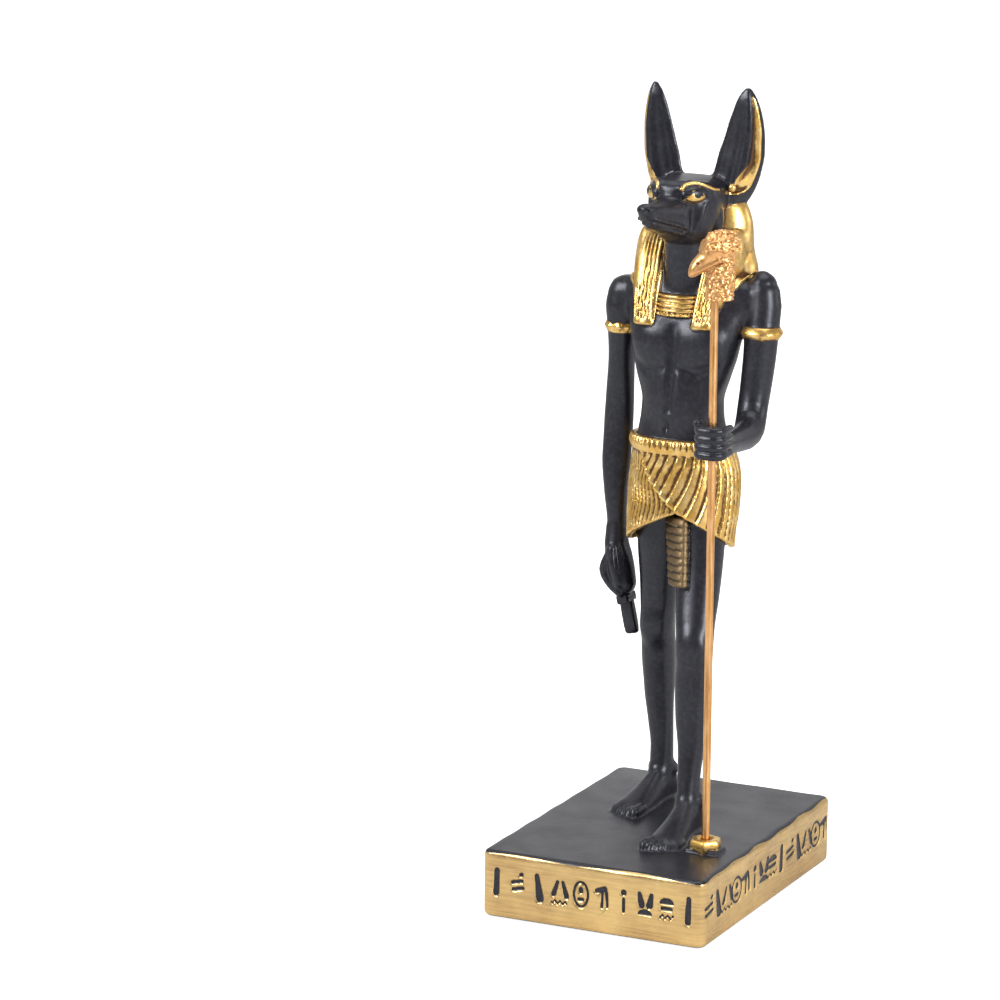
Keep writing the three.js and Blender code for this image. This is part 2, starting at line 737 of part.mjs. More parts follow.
function tabPiece() {
  const rings = [];
  const steps = tabRibs * 2;
  const sides = 8;
  for (let step = 0; step <= steps; step += 1) {
    const share = step / steps;
    const rise = step % 2 === 1 ? tabRibHeight : 0;
    const halfWidth = THREE.MathUtils.lerp(tabFootHalf, tabTopHalf, share);
    const centre = new THREE.Vector3(...tabFoot).lerp(new THREE.Vector3(...tabTop), share);
    const ring = [];
    for (let side = 0; side < sides; side += 1) {
      const [across, out] = ovalPoint((side / sides) * 2 * Math.PI, halfWidth, tabHalfThickness + rise, 3);
      ring.push(new THREE.Vector3(
        centre.x + across * Math.cos(tabTurn) - out * Math.sin(tabTurn),
        centre.y + across * Math.sin(tabTurn) + out * Math.cos(tabTurn),
        centre.z,
      ));
    }
    rings.push(ring);
  }
  return figurePiece(skin(rings));
}

// A row of fingers like the first, each a step further on
function fingerRow(finger, step, sides) {
  return Array.from({ length: fingerCount }, (_, index) => limb(finger.map(([x, y, z, radius]) => (
    [x + step[0] * index, y + step[1] * index, z + step[2] * index, radius])), sides));
}

// The right hand: a fist that holds the ankh's loop, its back turned outwards
function rightHand() {
  return [
    stack(rightPalm, { sides: 8, power: 2.4 }),
    ...fingerRow(rightFinger, [0, -rightFingerPitch, 0], 4),
    limb(rightThumb, 5),
  ].map(figurePiece);
}

// The ankh is a flat slab that hangs from the fist with its face turned outwards
function ankhPiece() {
  const outline = new THREE.Shape();
  const [x1, z1, x2, z2, x3, z3] = ankhLoop;
  const [outX, outZ] = ankhBars[ankhBars.length - 1];
  outline.moveTo(-ankhBars[0][0], ankhBars[0][1]);
  ankhBars.forEach(([x, z]) => outline.lineTo(x, z));
  outline.bezierCurveTo(x1, z1, x2, z2, x3, z3);
  outline.bezierCurveTo(-x2, z2, -x1, z1, -outX, outZ);
  ankhBars.slice(1, -1).reverse().forEach(([x, z]) => outline.lineTo(-x, z));
  const slab = new THREE.ExtrudeGeometry(outline, {
    depth: ankhThickness,
    bevelEnabled: false,
    curveSegments: 4,
  });
  const facing = new THREE.Matrix4().makeBasis(
    new THREE.Vector3(0, 1, 0),
    new THREE.Vector3(0, 0, 1),
    new THREE.Vector3(1, 0, 0),
  );
  const hung = new THREE.Matrix4().makeTranslation(...ankhPlace)
    .multiply(new THREE.Matrix4().makeRotationY(ankhTilt))
    .multiply(new THREE.Matrix4().makeTranslation(-ankhThickness / 2, 0, 0))
    .multiply(facing);
  return figurePiece(slab.applyMatrix4(hung));
}

// The left fist: four fingers wrapped round the front of the staff, one above the other
function leftFist() {
  const [x, y, z] = fistCentre;
  return [
    stack(fistPalm, { sides: 10, power: 2.6 }),
    ...fingerRow(fistFinger, [0, 0, -fingerPitch], 5),
    limb(fistThumb, 5),
  ].map((geometry) => figurePiece(geometry.translate(x, y, z)));
}

// Plinth and staff socket

function roundedRing(width, depth, radius, inset, z) {
  const steps = 3;
  const ring = [];
  for (let corner = 0; corner < 4; corner += 1) {
    const middleX = (corner % 3 === 0 ? 1 : -1) * (width / 2 - radius);
    const middleY = (corner < 2 ? 1 : -1) * (depth / 2 - radius);
    for (let step = 0; step < steps; step += 1) {
      const angle = (corner + step / (steps - 1)) * (Math.PI / 2);
      ring.push(new THREE.Vector3(
        middleX + (radius - inset) * Math.cos(angle),
        middleY + (radius - inset) * Math.sin(angle),
        z,
      ));
    }
  }
  return ring;
}

function plinthBlock() {
  const radius = plinthEdge * plinthCornerShare;
  const ring = (inset, z) => roundedRing(plinthWidth, plinthDepth, radius, inset, z);
  return solid(skin([
    ring(plinthEdge * 0.35, 0),
    ring(0, plinthEdge * 0.35),
    ring(0, plinthHeight - plinthEdge),
    ring(plinthEdge * 0.3, plinthHeight - plinthEdge * 0.3),
    ring(plinthEdge, plinthHeight),
  ]));
}

// Shallow strokes round the plinth's four sides. They only suggest an inscription: each mark is one
// bar, and its tilt and height follow its place in the row.
function plinthStrokes() {
  const tilts = [0, 30, -30, 90, 15, -15].map(THREE.MathUtils.degToRad);
  const heights = [1, 0.8, 0.8, 0.6, 0.9, 0.7, 0.5];
  const cuts = [];
  for (let side = 0; side < 4; side += 1) {
    const across = side % 2 === 0 ? plinthWidth : plinthDepth;
    const outwards = side % 2 === 0 ? plinthDepth / 2 : plinthWidth / 2;
    const room = across - 2 * strokeMargin;
    const count = Math.max(1, Math.floor(room / strokePitch));
    const turned = new THREE.Matrix4().makeRotationZ((side * Math.PI) / 2);
    for (let mark = 0; mark <= count; mark += 1) {
      const length = strokeHeight * heights[(mark + side) % heights.length];
      const bar = new THREE.BoxGeometry(strokeWidth, strokeDepth * 2, length)
        .rotateY(tilts[(mark + 2 * side) % tilts.length])
        .translate((mark / count - 0.5) * room, -outwards, plinthHeight * strokeCentreShare)
        .applyMatrix4(turned);
      cuts.push(solid(bar));
    }
  }
  return joined(cuts);
}

const fistPlace = new THREE.Vector3(...fistCentre).applyMatrix4(onPlinth);
const staffFoot = new THREE.Vector3(staffFootX, staffFootY, plinthHeight + padHeight);
const staffRise = fistPlace.clone().sub(staffFoot);
const staffTurn = new THREE.Quaternion()
  .setFromUnitVectors(new THREE.Vector3(0, 0, 1), staffRise.clone().normalize());
const socketFloor = plinthHeight + padHeight + socketHeight - socketDepth;
const staffHeadFoot = fistPlace.z + rodAboveFist;

// The point of the staff's axis at a height
function onStaff(z) {
  return staffFoot.clone().addScaledVector(staffRise, (z - staffFoot.z) / staffRise.z);
}

// A round bar on the staff's axis between two heights
function staffBar(radius, low, high) {
  const length = onStaff(high).distanceTo(onStaff(low));
  return new THREE.CylinderGeometry(radius, radius, length, rodSides)
    .rotateX(Math.PI / 2)
    .translate(0, 0, length / 2)
    .applyQuaternion(staffTurn)
    .translate(...onStaff(low).toArray());
}

function socket() {
  const outer = rodDiameter / 2 + socketPlay + socketWall;
  const profile = [[0, -0.4], ...socketShares, [0, 1]];
  const points = profile.map(([across, up]) => new THREE.Vector2(across * outer, up * socketHeight));
  const ring = new THREE.LatheGeometry(points, 10)
    .rotateX(Math.PI / 2)
    .translate(staffFootX, staffFootY, plinthHeight + padHeight);
  const pad = new THREE.BoxGeometry(padWidth, padDepth, padHeight * 2)
    .translate(staffFootX, staffFootY, plinthHeight);
  return [solid(ring), solid(pad)];
}

function staffHoles() {
  const footHole = staffBar(rodDiameter / 2 + socketPlay, socketFloor, staffFoot.z + socketHeight + 1);
  const fistHeight = 2 * fistReach * grown;
  const fistHole = staffBar(rodDiameter / 2 + rodGap, fistPlace.z - fistHeight, fistPlace.z + fistHeight);
  return solid(footHole).add(solid(fistHole));
}

function figureOnPlinth() {
  const figure = joined([
    ...body(),
    ...footPieces(rightAnkle, 1),
    ...footPieces(leftAnkle, -1),
    ...headPieces(),
    ...[-1, 1].map(earPiece),
    ...wigPieces(),
    ...bands(),
    kiltUnder(),
    kiltWrap(),
    tabPiece(),
    ...rightHand(),
    ankhPiece(),
    ...leftFist(),
  ]).subtract(joined(mouthLines()));
  const plinth = plinthBlock().subtract(plinthStrokes());
  const ground = new THREE.BoxGeometry(plinthWidth, plinthDepth, plinthHeight)
    .translate(0, 0, plinthHeight / 2 - 0.5);
  const standing = figure.subtract(solid(ground));
  return joined([plinth, standing, ...socket()]).subtract(staffHoles());
}

function staffHead() {
  const size = headHeight / drawnHeadHeight;
  const matrix = new THREE.Matrix4().makeScale(size, size, size);
  const [eyeX, eyeY, eyeZ] = headEyePlace;
  const eyes = [-1, 1].map((side) => ball([side * eyeX, eyeY, eyeZ], headEyeHalf));
  const form = joined([
    stack(headNeck, { sides: 8 }),
    stack(headSkull, { layout: 'forward', sides: 8 }),
    stack(headBeak, { layout: 'forward', sides: 8 }),
    limb(headCrest, 6),
    ...eyes,
  ].map((geometry) => solid(geometry, matrix)));
  const boreRadius = rodDiameter / 2 + rodGap;
  const bore = new THREE.CylinderGeometry(boreRadius, boreRadius, headBoreDepth * 2, rodSides)
    .rotateX(Math.PI / 2);
  return form.subtract(solid(bore));
}

function staffRod() {
  const low = socketFloor + rodGap;
  const high = staffHeadFoot + headBoreDepth - 2 * rodGap;
  return staffBar(rodDiameter / 2, low, high);
}

// The statue as a scene graph

const statue = new THREE.Group();

function addPiece(name, geometry, colour, roughness, metalness) {
  const material = new THREE.MeshStandardMaterial({ color: colour, roughness, metalness });
  const mesh = new THREE.Mesh(geometry, material);
  mesh.name = name;
  statue.add(mesh);
  return mesh;
}

addPiece('figure_on_plinth', geometryOf(figureOnPlinth()), 0x1a1a1d, 0.45, 0);
addPiece('staff_rod', staffRod(), 0xd9a066, 0.3, 0.9);
const head = addPiece('staff_head', geometryOf(staffHead()), 0xd29a55, 0.45, 0.8);
head.position.copy(onStaff(staffHeadFoot));
head.quaternion.copy(staffTurn);
head.rotateZ(headTurn);

export default statue;
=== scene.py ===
"""A jackal-headed standing figure, cast in resin and painted satin black and antique gold."""

import math

import bpy
import numpy as np
from mathutils import Matrix, Vector


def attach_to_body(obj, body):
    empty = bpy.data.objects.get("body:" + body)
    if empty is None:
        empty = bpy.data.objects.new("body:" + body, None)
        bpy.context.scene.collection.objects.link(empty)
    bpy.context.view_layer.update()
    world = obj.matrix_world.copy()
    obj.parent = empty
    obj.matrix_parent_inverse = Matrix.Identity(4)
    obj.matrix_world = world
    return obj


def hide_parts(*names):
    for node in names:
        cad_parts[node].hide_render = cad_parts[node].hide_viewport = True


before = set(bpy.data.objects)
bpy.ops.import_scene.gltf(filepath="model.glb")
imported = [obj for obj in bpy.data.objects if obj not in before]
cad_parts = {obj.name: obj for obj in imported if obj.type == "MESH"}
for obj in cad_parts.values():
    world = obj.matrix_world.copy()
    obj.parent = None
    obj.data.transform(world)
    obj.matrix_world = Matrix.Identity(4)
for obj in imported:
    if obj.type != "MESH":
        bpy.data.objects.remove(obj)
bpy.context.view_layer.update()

# Everything is drawn in millimetres, and put into metres when its mesh is done
MM = 0.001
CELL = 0.33             # spacing of the carving lattice
HEAD_CELL = 0.2         # the same for the staff's head
FACE_LIMIT = 192000     # triangles kept in the figure
HEAD_FACE_LIMIT = 60000
REACH = 3.0             # how far round a piece the lattice is touched
FULL_TURN = 2 * math.pi

# Where the figure's own axis stands, and the sizes that the staff and its sockets share
FIGURE = (-4.5, 18.0, 17.5)
PLINTH = (61.0, 85.0, 17.5)
PLINTH_CORNER = 2.6      # radius of its upright edges
ROD_RADIUS = 1.0
ROD_GAP = 0.3
STAFF_FOOT = Vector((20.4, -18.0, 18.5))
FIST = (23.7, -34.2, 105.3)
FIST_REACH = 4.4
ROD_ABOVE_FIST = 35.4
HEAD_BORE = 7.0
SOCKET_DEPTH = 6.0
SOCKET_HEIGHT = 2.5
SOCKET_PLAY = 0.7
HEAD_X = -0.3           # the head's middle, across the figure

FIST_PLACE = Vector(FIST) + Vector(FIGURE)
STAFF_RISE = FIST_PLACE - STAFF_FOOT
STAFF_TURN = Vector((0, 0, 1)).rotation_difference(STAFF_RISE.normalized())


def on_staff(z):
    """The point of the staff's axis at a height."""
    return STAFF_FOOT + STAFF_RISE * ((z - STAFF_FOOT.z) / STAFF_RISE.z)


# Carving tools. A piece is (lowest corner, highest corner, gap), where gap(x, y, z) is how far a point
# lies outside the piece, and is negative inside it.


class Lattice:
    """A regular grid of points."""

    def __init__(self, low, high, cell):
        self.axes = [np.arange(a, b, cell, dtype=np.float32) for a, b in zip(low, high)]
        self.shape = tuple(len(axis) for axis in self.axes)

    def near(self, low, high):
        """The points in a box: their index, and x, y and z each along its own direction of the grid."""
        index = tuple(slice(*np.searchsorted(axis, (a, b))) for axis, a, b in zip(self.axes, low, high))
        x, y, z = (axis[part] for axis, part in zip(self.axes, index))
        return index, x[:, None, None], y[None, :, None], z[None, None, :]


class Scatter:
    """Any list of points."""

    def __init__(self, points):
        self.points = points
        self.shape = (len(points),)

    def near(self, low, high):
        """The points in a box: their index, and their x, y and z."""
        index = np.flatnonzero(np.all((self.points >= low) & (self.points <= high), axis=1))
        return (index, *self.points[index].T)


def blended(a, b, width):
    """Two forms as one, with a fillet of this width between them."""
    if width <= 0:
        return np.minimum(a, b)
    share = np.clip(0.5 + 0.5 * (b - a) / width, 0, 1)
    return b + (a - b) * share - width * share * (1 - share)


def overlap(a, b, width):
    """What lies in both forms, its edge rounded by this width."""
    return -blended(-a, -b, width)


def turned(a, b, angle):
    """Two coordinates, read on axes turned by an angle."""
    c, s = math.cos(angle), math.sin(angle)
    return a * c + b * s, b * c - a * s


def carve(places, pieces, field=None):
    """Adds pieces (piece, fillet) to the gaps at some places, or cuts those whose third entry is "cut"."""
    if field is None:
        field = np.full(places.shape, REACH, np.float32)
    for (low, high, gap), width, *mode in pieces:
        index, x, y, z = places.near(np.array(low) - REACH, np.array(high) + REACH)
        here = field[index]
        if here.size == 0:
            continue
        change = gap(x, y, z).astype(np.float32)
        field[index] = overlap(here, -change, width) if mode else blended(here, change, width)
    return field


def along(rows, place):
    """A table's columns at a place between its rows, run smoothly from row to row without overshooting."""
    table = np.asarray(rows, np.float32)
    knots, values = table[:, 0], table[:, 1:]
    steps = np.diff(values, axis=0) / np.diff(knots)[:, None]
    before, after = steps[:-1], steps[1:]
    both = np.where(before + after == 0, 1, before + after)
    level = np.where(before * after > 0, 2 * before * after / both, 0)
    slopes = np.concatenate([steps[:1], level, steps[-1:]])
    place = np.clip(place, knots[0], knots[-1])
    row = np.clip(np.searchsorted(knots, place, side="right") - 1, 0, len(knots) - 2)
    span = knots[row + 1] - knots[row]
    t = (place - knots[row]) / span
    columns = []
    for column in range(values.shape[1]):
        a, b = values[row, column], values[row + 1, column]
        leaving, arriving = slopes[row, column] * span, slopes[row + 1, column] * span
        bend = 3 * (b - a) - 2 * leaving - arriving + t * (2 * (a - b) + leaving + arriving)
        columns.append(a + t * (leaving + t * bend))
    return columns


def oval(u, v, half_u, half_v, power=2.0):
    """How far (u, v) lies outside an oval, which is squarer the higher its power."""
    a = np.abs(u) / half_u
    b = np.abs(v) / half_v
    size = (a**power + b**power) ** (1 / power) + 1e-5
    slope = np.hypot((a / size) ** (power - 1) / half_u, (b / size) ** (power - 1) / half_v)
    return (size - 1) / slope


def drawn_angle(u, v, half_u, half_v, power=2.0):
    """The angle at which such an oval is drawn where it passes the direction of (u, v)."""
    a = np.sign(u) * (np.abs(u) / half_u) ** (power / 2)
    b = np.sign(v) * (np.abs(v) / half_v) ** (power / 2)
    return np.arctan2(b, a)


SECTIONS = {
    "upright": lambda x, y, z: (x, y, z),
    "forward": lambda x, y, z: (x, z, -y),
    "sideways": lambda x, y, z: (y, z, x),
}


def stack(rows, layout="upright", power=2.2, taper=0.0, ends=1.0, relief=None):
    """A stack of oval sections in rows (w, centre u, centre v, half width u, half width v), where w runs
    along the stack. relief(angle, w) is how far its side stands out."""
    rows = sorted(rows)
    table = np.array(rows)
    wide = 1 + abs(taper)
    low = [(table[:, 1] - table[:, 3] * wide).min(), (table[:, 2] - table[:, 4]).min(), table[0, 0]]
    high = [(table[:, 1] + table[:, 3] * wide).max(), (table[:, 2] + table[:, 4]).max(), table[-1, 0]]
    corners = {
        "upright": (low, high),
        "forward": ([low[0], -high[2], low[1]], [high[0], -low[2], high[1]]),
        "sideways": ([low[2], low[0], low[1]], [high[2], high[0], high[1]]),
    }[layout]

    def gap(x, y, z):
        u, v, w = SECTIONS[layout](x, y, z)
        centre_u, centre_v, half_u, half_v = along(rows, w)
        half_u, half_v = np.maximum(half_u, 0.1), np.maximum(half_v, 0.1)
        u, v = u - centre_u, v - centre_v
        if taper:
            u = u / np.maximum(1 + taper * v / half_v, 0.4)
        side = oval(u, v, half_u, half_v, power)
        if relief:
            side = side - relief(drawn_angle(u, v, half_u, half_v, power), w)
        end = np.maximum(rows[0][0] - w, w - rows[-1][0])
        return overlap(side, end, ends)

    return (*corners, gap)


def rounded(points, steps):
    """A bent line's points [x, y, z, radius], run smoothly in this many steps from one to the next."""
    rows = [(index, *point) for index, point in enumerate(points)]
    places = np.linspace(0, len(points) - 1, (len(points) - 1) * steps + 1)
    return np.stack(along(rows, places), axis=-1)


def limb(points, steps=3):
    """A round limb along a bent line of points (x, y, z, radius)."""
    path = rounded(points, steps) if len(points) > 2 else np.array(points, float)
    low = (path[:, :3] - path[:, 3:]).min(axis=0)
    high = (path[:, :3] + path[:, 3:]).max(axis=0)

    def gap(x, y, z):
        nearest = np.inf
        for (ax, ay, az, ar), (bx, by, bz, br) in zip(path, path[1:]):
            dx, dy, dz = bx - ax, by - ay, bz - az
            share = ((x - ax) * dx + (y - ay) * dy + (z - az) * dz) / (dx * dx + dy * dy + dz * dz)
            share = np.clip(share, 0, 1)
            away = (x - ax - dx * share) ** 2 + (y - ay - dy * share) ** 2 + (z - az - dz * share) ** 2
            nearest = np.minimum(nearest, np.sqrt(away) - (ar + (br - ar) * share))
        return nearest

    return low, high, gap


def ball(centre, halves, turn=0.0):
    """An ellipsoid turned about the upright axis."""
    reach = max(halves)

    def gap(x, y, z):
        x, y = turned(x - centre[0], y - centre[1], turn)
        z = z - centre[2]
        size = np.sqrt((x / halves[0]) ** 2 + (y / halves[1]) ** 2 + (z / halves[2]) ** 2) + 1e-5
        slope = np.sqrt((x / halves[0] ** 2) ** 2 + (y / halves[1] ** 2) ** 2 + (z / halves[2] ** 2) ** 2)
        return (size - 1) * size / np.maximum(slope, 1e-5)

    return np.array(centre) - reach, np.array(centre) + reach, gap


def block(centre, halves, round_off=0.3):
    """A block with rounded edges."""
    reach = math.hypot(*halves)

    def gap(x, y, z):
        past = [np.abs(p - middle) - (half - round_off) for p, middle, half in zip((x, y, z), centre, halves)]
        outside = np.sqrt(sum(np.maximum(p, 0) ** 2 for p in past))
        inside = np.minimum(np.maximum(np.maximum(past[0], past[1]), past[2]), 0)
        return outside + inside - round_off

    return np.array(centre) - reach, np.array(centre) + reach, gap


def ridge(turns, angle):
    """Broad ridges with narrow valleys, this many a turn, from 0 in a valley to 1."""
    return np.abs(np.sin(angle * turns / 2)) ** 0.6


# The body, drawn on the figure's own axis with the soles at zero, in rows for stack or limb

TORSO = [
    (92, 0.8, 0.8, 12, 8.6), (98, 0.7, 0.9, 11.7, 8.4), (103.5, 0.6, 0.9, 10.8, 7.9),
    (107, 0.6, 1, 10.6, 7.8), (114, 0.7, 1, 12.5, 7.5), (119, 0.9, 1.2, 13.9, 7.5),
    (124, 0.8, 1.7, 15, 7.5), (130, 0.8, 3, 16.4, 6.8), (135, 0.9, 4.4, 17, 5.8),
    (138.8, 0.6, 5, 13.5, 4.6), (141.5, 0, 5, 8, 3.6),
]
NECK = [(128, HEAD_X, 4.5, 6, 5.4), (140, HEAD_X, 3.8, 5.6, 5.5), (152, HEAD_X, 3.8, 6, 6)]
YOKE = [
    (-18.2, 5.6, 132.4, 3.2, 3.6), (-13, 5.4, 133.4, 4.2, 4.8), (0, 5, 133.5, 4.6, 6),
    (13, 5, 133.8, 4.4, 5.4), (18, 5, 133.6, 3.8, 4.6),
]
RIGHT_LEG = [
    (0, -5, 5.4, 3.3, 4.6), (3, -5, 5.2, 3.1, 4), (10, -5.1, 4.6, 3, 3.2), (13.5, -5.1, 4.6, 3, 2.9),
    (20, -5.6, 4.7, 3.4, 2.8), (29, -6.2, 4.7, 4, 3.5), (38.5, -6.3, 4.1, 4.4, 4.2), (45, -6, 2.9, 4.4, 4),
    (51, -5.9, 2.3, 4.6, 3.9), (58.5, -5.7, 2.1, 5, 4.3), (68, -5.2, 1.1, 5.8, 4.7),
    (80, -4.6, 0.4, 6.4, 5.6),
]
LEFT_LEG = [
    (0, 12.9, -19.5, 3.1, 4.9), (3, 12.9, -19.4, 2.9, 4.4), (10, 12.8, -19.1, 2.8, 3.5),
    (13.5, 12.6, -18.6, 2.9, 3.1), (20, 12.5, -17.4, 3.4, 3), (29, 12, -16.1, 4.3, 3.6),
    (38.5, 11.9, -15.3, 4.8, 3.8), (45, 11.8, -14.5, 4.7, 3.8), (51, 11.2, -13.2, 5, 4.3),
    (58.5, 10.2, -9.6, 5.5, 5.1), (68, 9.1, -5.8, 6, 5.5), (80, 8, -2.5, 6.4, 6),
]
FOOT = [
    (-5.2, 0.2, 0.6, 1.8, 1.6), (-3.6, 0.1, 2.4, 2.8, 4.6), (0, 0, 3.4, 3.2, 6.4), (5, -0.3, 2.4, 3.3, 5),
    (10, -0.6, 1.5, 3.8, 3.7), (15, -0.9, 0.9, 4.3, 2.8), (18.6, -1.1, 0.5, 4.5, 2.3),
    (20.8, -1, 0.2, 4.1, 1.6),
]
RIGHT_ANKLE = (-5, 5)
LEFT_ANKLE = (12.9, -19.3)
BIG_TOE_ACROSS = 2.2     # from the ankle, as is how far its tip lies forward
BIG_TOE_FORWARD = 23.2
TOES_WIDTH = 7.2
TOES_SLANT = 3.6         # how far the little toe lies behind the big one
RIGHT_PALM = [
    (54.2, -14.9, 1.8, 1.8, 2.4), (57, -16, 2, 3.5, 3.3), (60.5, -17.1, 2.4, 3.9, 3.6),
    (64.5, -17.7, 2.8, 3.4, 3.4), (68, -18.3, 3.2, 2.7, 3), (71.5, -18.5, 3.8, 2.5, 2.6),
]
RIGHT_ARM = [
    (66, -18.6, 3.2, 2.6, 3.1), (71, -18.6, 3.7, 2.5, 2.6), (80.5, -19.2, 4, 3.1, 2.7),
    (90, -19.6, 5.1, 3.9, 2.7), (98, -19.6, 6, 3.9, 2.9), (105.5, -19.5, 6.4, 3.7, 3.1),
    (115.5, -19, 6, 3.3, 3.8), (124, -18.6, 5.4, 3.8, 4.2), (129.5, -18.6, 5.5, 4.3, 4.8),
    (133, -18.4, 5.9, 4.1, 4.7), (135.8, -18, 5.9, 3.3, 3.7), (137.2, -17.6, 5.8, 2, 2.2),
]
LEFT_ARM = [
    (19.6, 5.8, 139.4, 2), (20.1, 5.7, 137.6, 3.6), (20.8, 5, 132.6, 4.4), (21, 2.9, 124, 4.3),
    (20.4, 2.3, 115, 4.1), (20, 0.8, 107.5, 3.9), (20.8, -3, 102.6, 3.9), (21.6, -8, 101.4, 3.5),
    (22.3, -18, 102, 3), (23.4, -27, 103, 2.6), (24, -31.5, 104, 2.9),
]
SKULL = [
    (-17.6, HEAD_X, 157.6, 2.6, 3), (-15.5, HEAD_X, 157.4, 5.6, 5), (-11, HEAD_X, 157, 8.4, 7),
    (-6, HEAD_X, 156.3, 9.2, 8.4), (-1, HEAD_X, 156.2, 9.1, 8.6), (3, HEAD_X - 0.1, 156.6, 7.4, 8.1),
    (5.4, HEAD_X - 0.2, 157.6, 5.2, 7.1), (7.2, HEAD_X - 0.3, 159, 3.6, 5.4),
    (8, HEAD_X - 0.3, 160, 2.9, 4.1),
]
SKULL_POWER = 3
SKULL_TAPER = 0.16
SNOUT = [
    (2, HEAD_X, 154.6, 6.6, 5.8), (7, HEAD_X - 0.3, 155.9, 4.8, 4.6), (12, HEAD_X - 0.4, 156.8, 3.7, 3.5),
    (17, HEAD_X - 0.5, 157.6, 2.8, 2.8), (21, HEAD_X - 0.6, 158.4, 2.2, 2.1),
    (22.4, HEAD_X - 0.6, 158.7, 1.4, 1.4),
]
# An ear is a leaf folded along a keel in front. Its rows are for the left ear, and the right one is its
# mirror image: (height, out, back, half length, keel's reach in front, reach behind)
EAR = [
    (156, 7.9, 11.2, 4, 3.2, 2), (160.5, 9, 11.6, 5.6, 4.4, 1.8), (164, 9.8, 11.8, 6.1, 4.8, 1.5),
    (168, 10.7, 12, 6.1, 4.6, 1.45), (172, 11.4, 12.1, 5.6, 4.15, 1.45), (177, 12.1, 12, 4.7, 3.5, 1.35),
    (181, 12.4, 11.8, 3.7, 2.7, 1.15), (184.5, 12.6, 11.4, 2.4, 1.6, 0.8), (187, 12.8, 11.3, 0.7, 0.6, 0.3),
]
EAR_LOW, EAR_HIGH = 156, 187
EAR_TURN = math.radians(20)
# Its section, as shares of the half length and of the reach in front (below zero) or behind
EAR_SECTION = [
    (-1, 0), (-0.75, -0.38), (0.05, -0.95), (0.3, -0.92), (0.96, -0.14), (1, 0.15), (0.8, 0.6), (0.3, 1),
    (-0.4, 0.9), (-0.85, 0.45),
]
HOLLOW_PLACE = (0.57, -0.62)
HOLLOW_HALF = 0.25
HOLLOW_DEPTH = 0.26
HOLLOW_LOW, HOLLOW_HIGH = 160.2, 184.6
HOLLOW_SWEEP = 168       # below this it sweeps forward to the keel


def body_pieces():
    """The trunk, the neck, the legs and the arms, and what swells or sinks on them."""
    swellings = [(ball((0.8 + side * 6, -2.3, 122.5), (6.4, 3.7, 6.2)), 2) for side in (-1, 1)]
    swellings.append((ball((HEAD_X + 0.8, -3.4, 108), (6, 4, 9)), 3))
    knees = [
        (ball((-5.9, 0.1, 46.5), (3, 1.8, 3.8)), 3),
        (ball((11.6, -16.7, 46.5), (3.2, 1.8, 4)), 3),
    ]
    under_chest = []
    for side in (-1, 1):
        line = [(HEAD_X + side * out + 0.3, y, z, radius) for out, y, z, radius in (
            (2.8, -6.9, 116.8, 0.35), (7, -6.4, 115.6, 1), (11.2, -4.4, 117.6, 0.3))]
        under_chest.append((limb(line), 1.8, "cut"))
    midline = limb([(0.4, -6.2, 127, 0.6), (0.4, -7, 122, 0.75), (0.4, -7.3, 114, 0.45),
                    (0.2, -7.7, 106, 0.2)])
    navel = limb([(-0.5, -7.7, 103.4, 0.4), (-0.5, -7.5, 101.6, 0.75), (-0.4, -7.7, 99.9, 0.3)])
    return [
        (stack(TORSO, power=2.4, ends=2), 0.5),
        (stack(NECK), 1.5),
        (stack(YOKE, "sideways", ends=2), 2.5),
        *swellings,
        (stack(RIGHT_LEG, ends=1), 1.2),
        (stack(LEFT_LEG, ends=1), 1.2),
        *knees,
        (stack(RIGHT_ARM, ends=1.5), 1.6),
        (limb(LEFT_ARM, 2), 1.8),
        *under_chest,
        (midline, 2, "cut"),
        (navel, 0.5, "cut"),
    ]


def foot_pieces(ankle, big_toe_side):
    """A foot with its toes and ankle bones. big_toe_side is 1 where the big toe lies towards +X."""
    ankle_x, ankle_y = ankle
    rows = [(forward - ankle_y, ankle_x + across * big_toe_side, height, half_width, half_height)
            for forward, across, height, half_width, half_height in FOOT]
    pieces = [(stack(rows, "forward", ends=1), 1.6)]
    for toe in range(5):
        share = toe / 4
        x = ankle_x + big_toe_side * (BIG_TOE_ACROSS - TOES_WIDTH * share)
        tip = ankle_y - BIG_TOE_FORWARD + TOES_SLANT * share**1.5
        radius = 1.5 - 0.6 * share**0.5
        line = [(x, tip + 5, radius * 0.9, radius * 0.8), (x, tip + 1.2, radius * 0.9, radius),
                (x, tip, radius * 0.6, radius * 0.6)]
        pieces.append((limb(line), 0.35))
    for side in (-1, 1):
        pieces.append((ball((ankle_x + side * 2.9, ankle_y + 0.5, 7.4), (1.1, 1.6, 1.6)), 1.2))
    return pieces


def right_hand():
    """The hanging hand, closed round the ankh's loop."""
    pieces = [(stack(RIGHT_PALM, power=2.4, ends=1), 1.2)]
    for finger in range(4):
        y = 4.8 - 1.65 * finger
        line = [(-18.9, y, 65.5, 0.8), (-20.5, y, 60.3, 1.2), (-18.6, y, 56.6, 1.15), (-15.8, y, 54.2, 1.05)]
        pieces.append((limb(line), 0.35))
    thumb = [(-18.2, -0.4, 66, 0.9), (-17.4, -1.1, 61.5, 1.2), (-16, -1, 57, 1)]
    pieces.append((limb(thumb), 0.9))
    return pieces


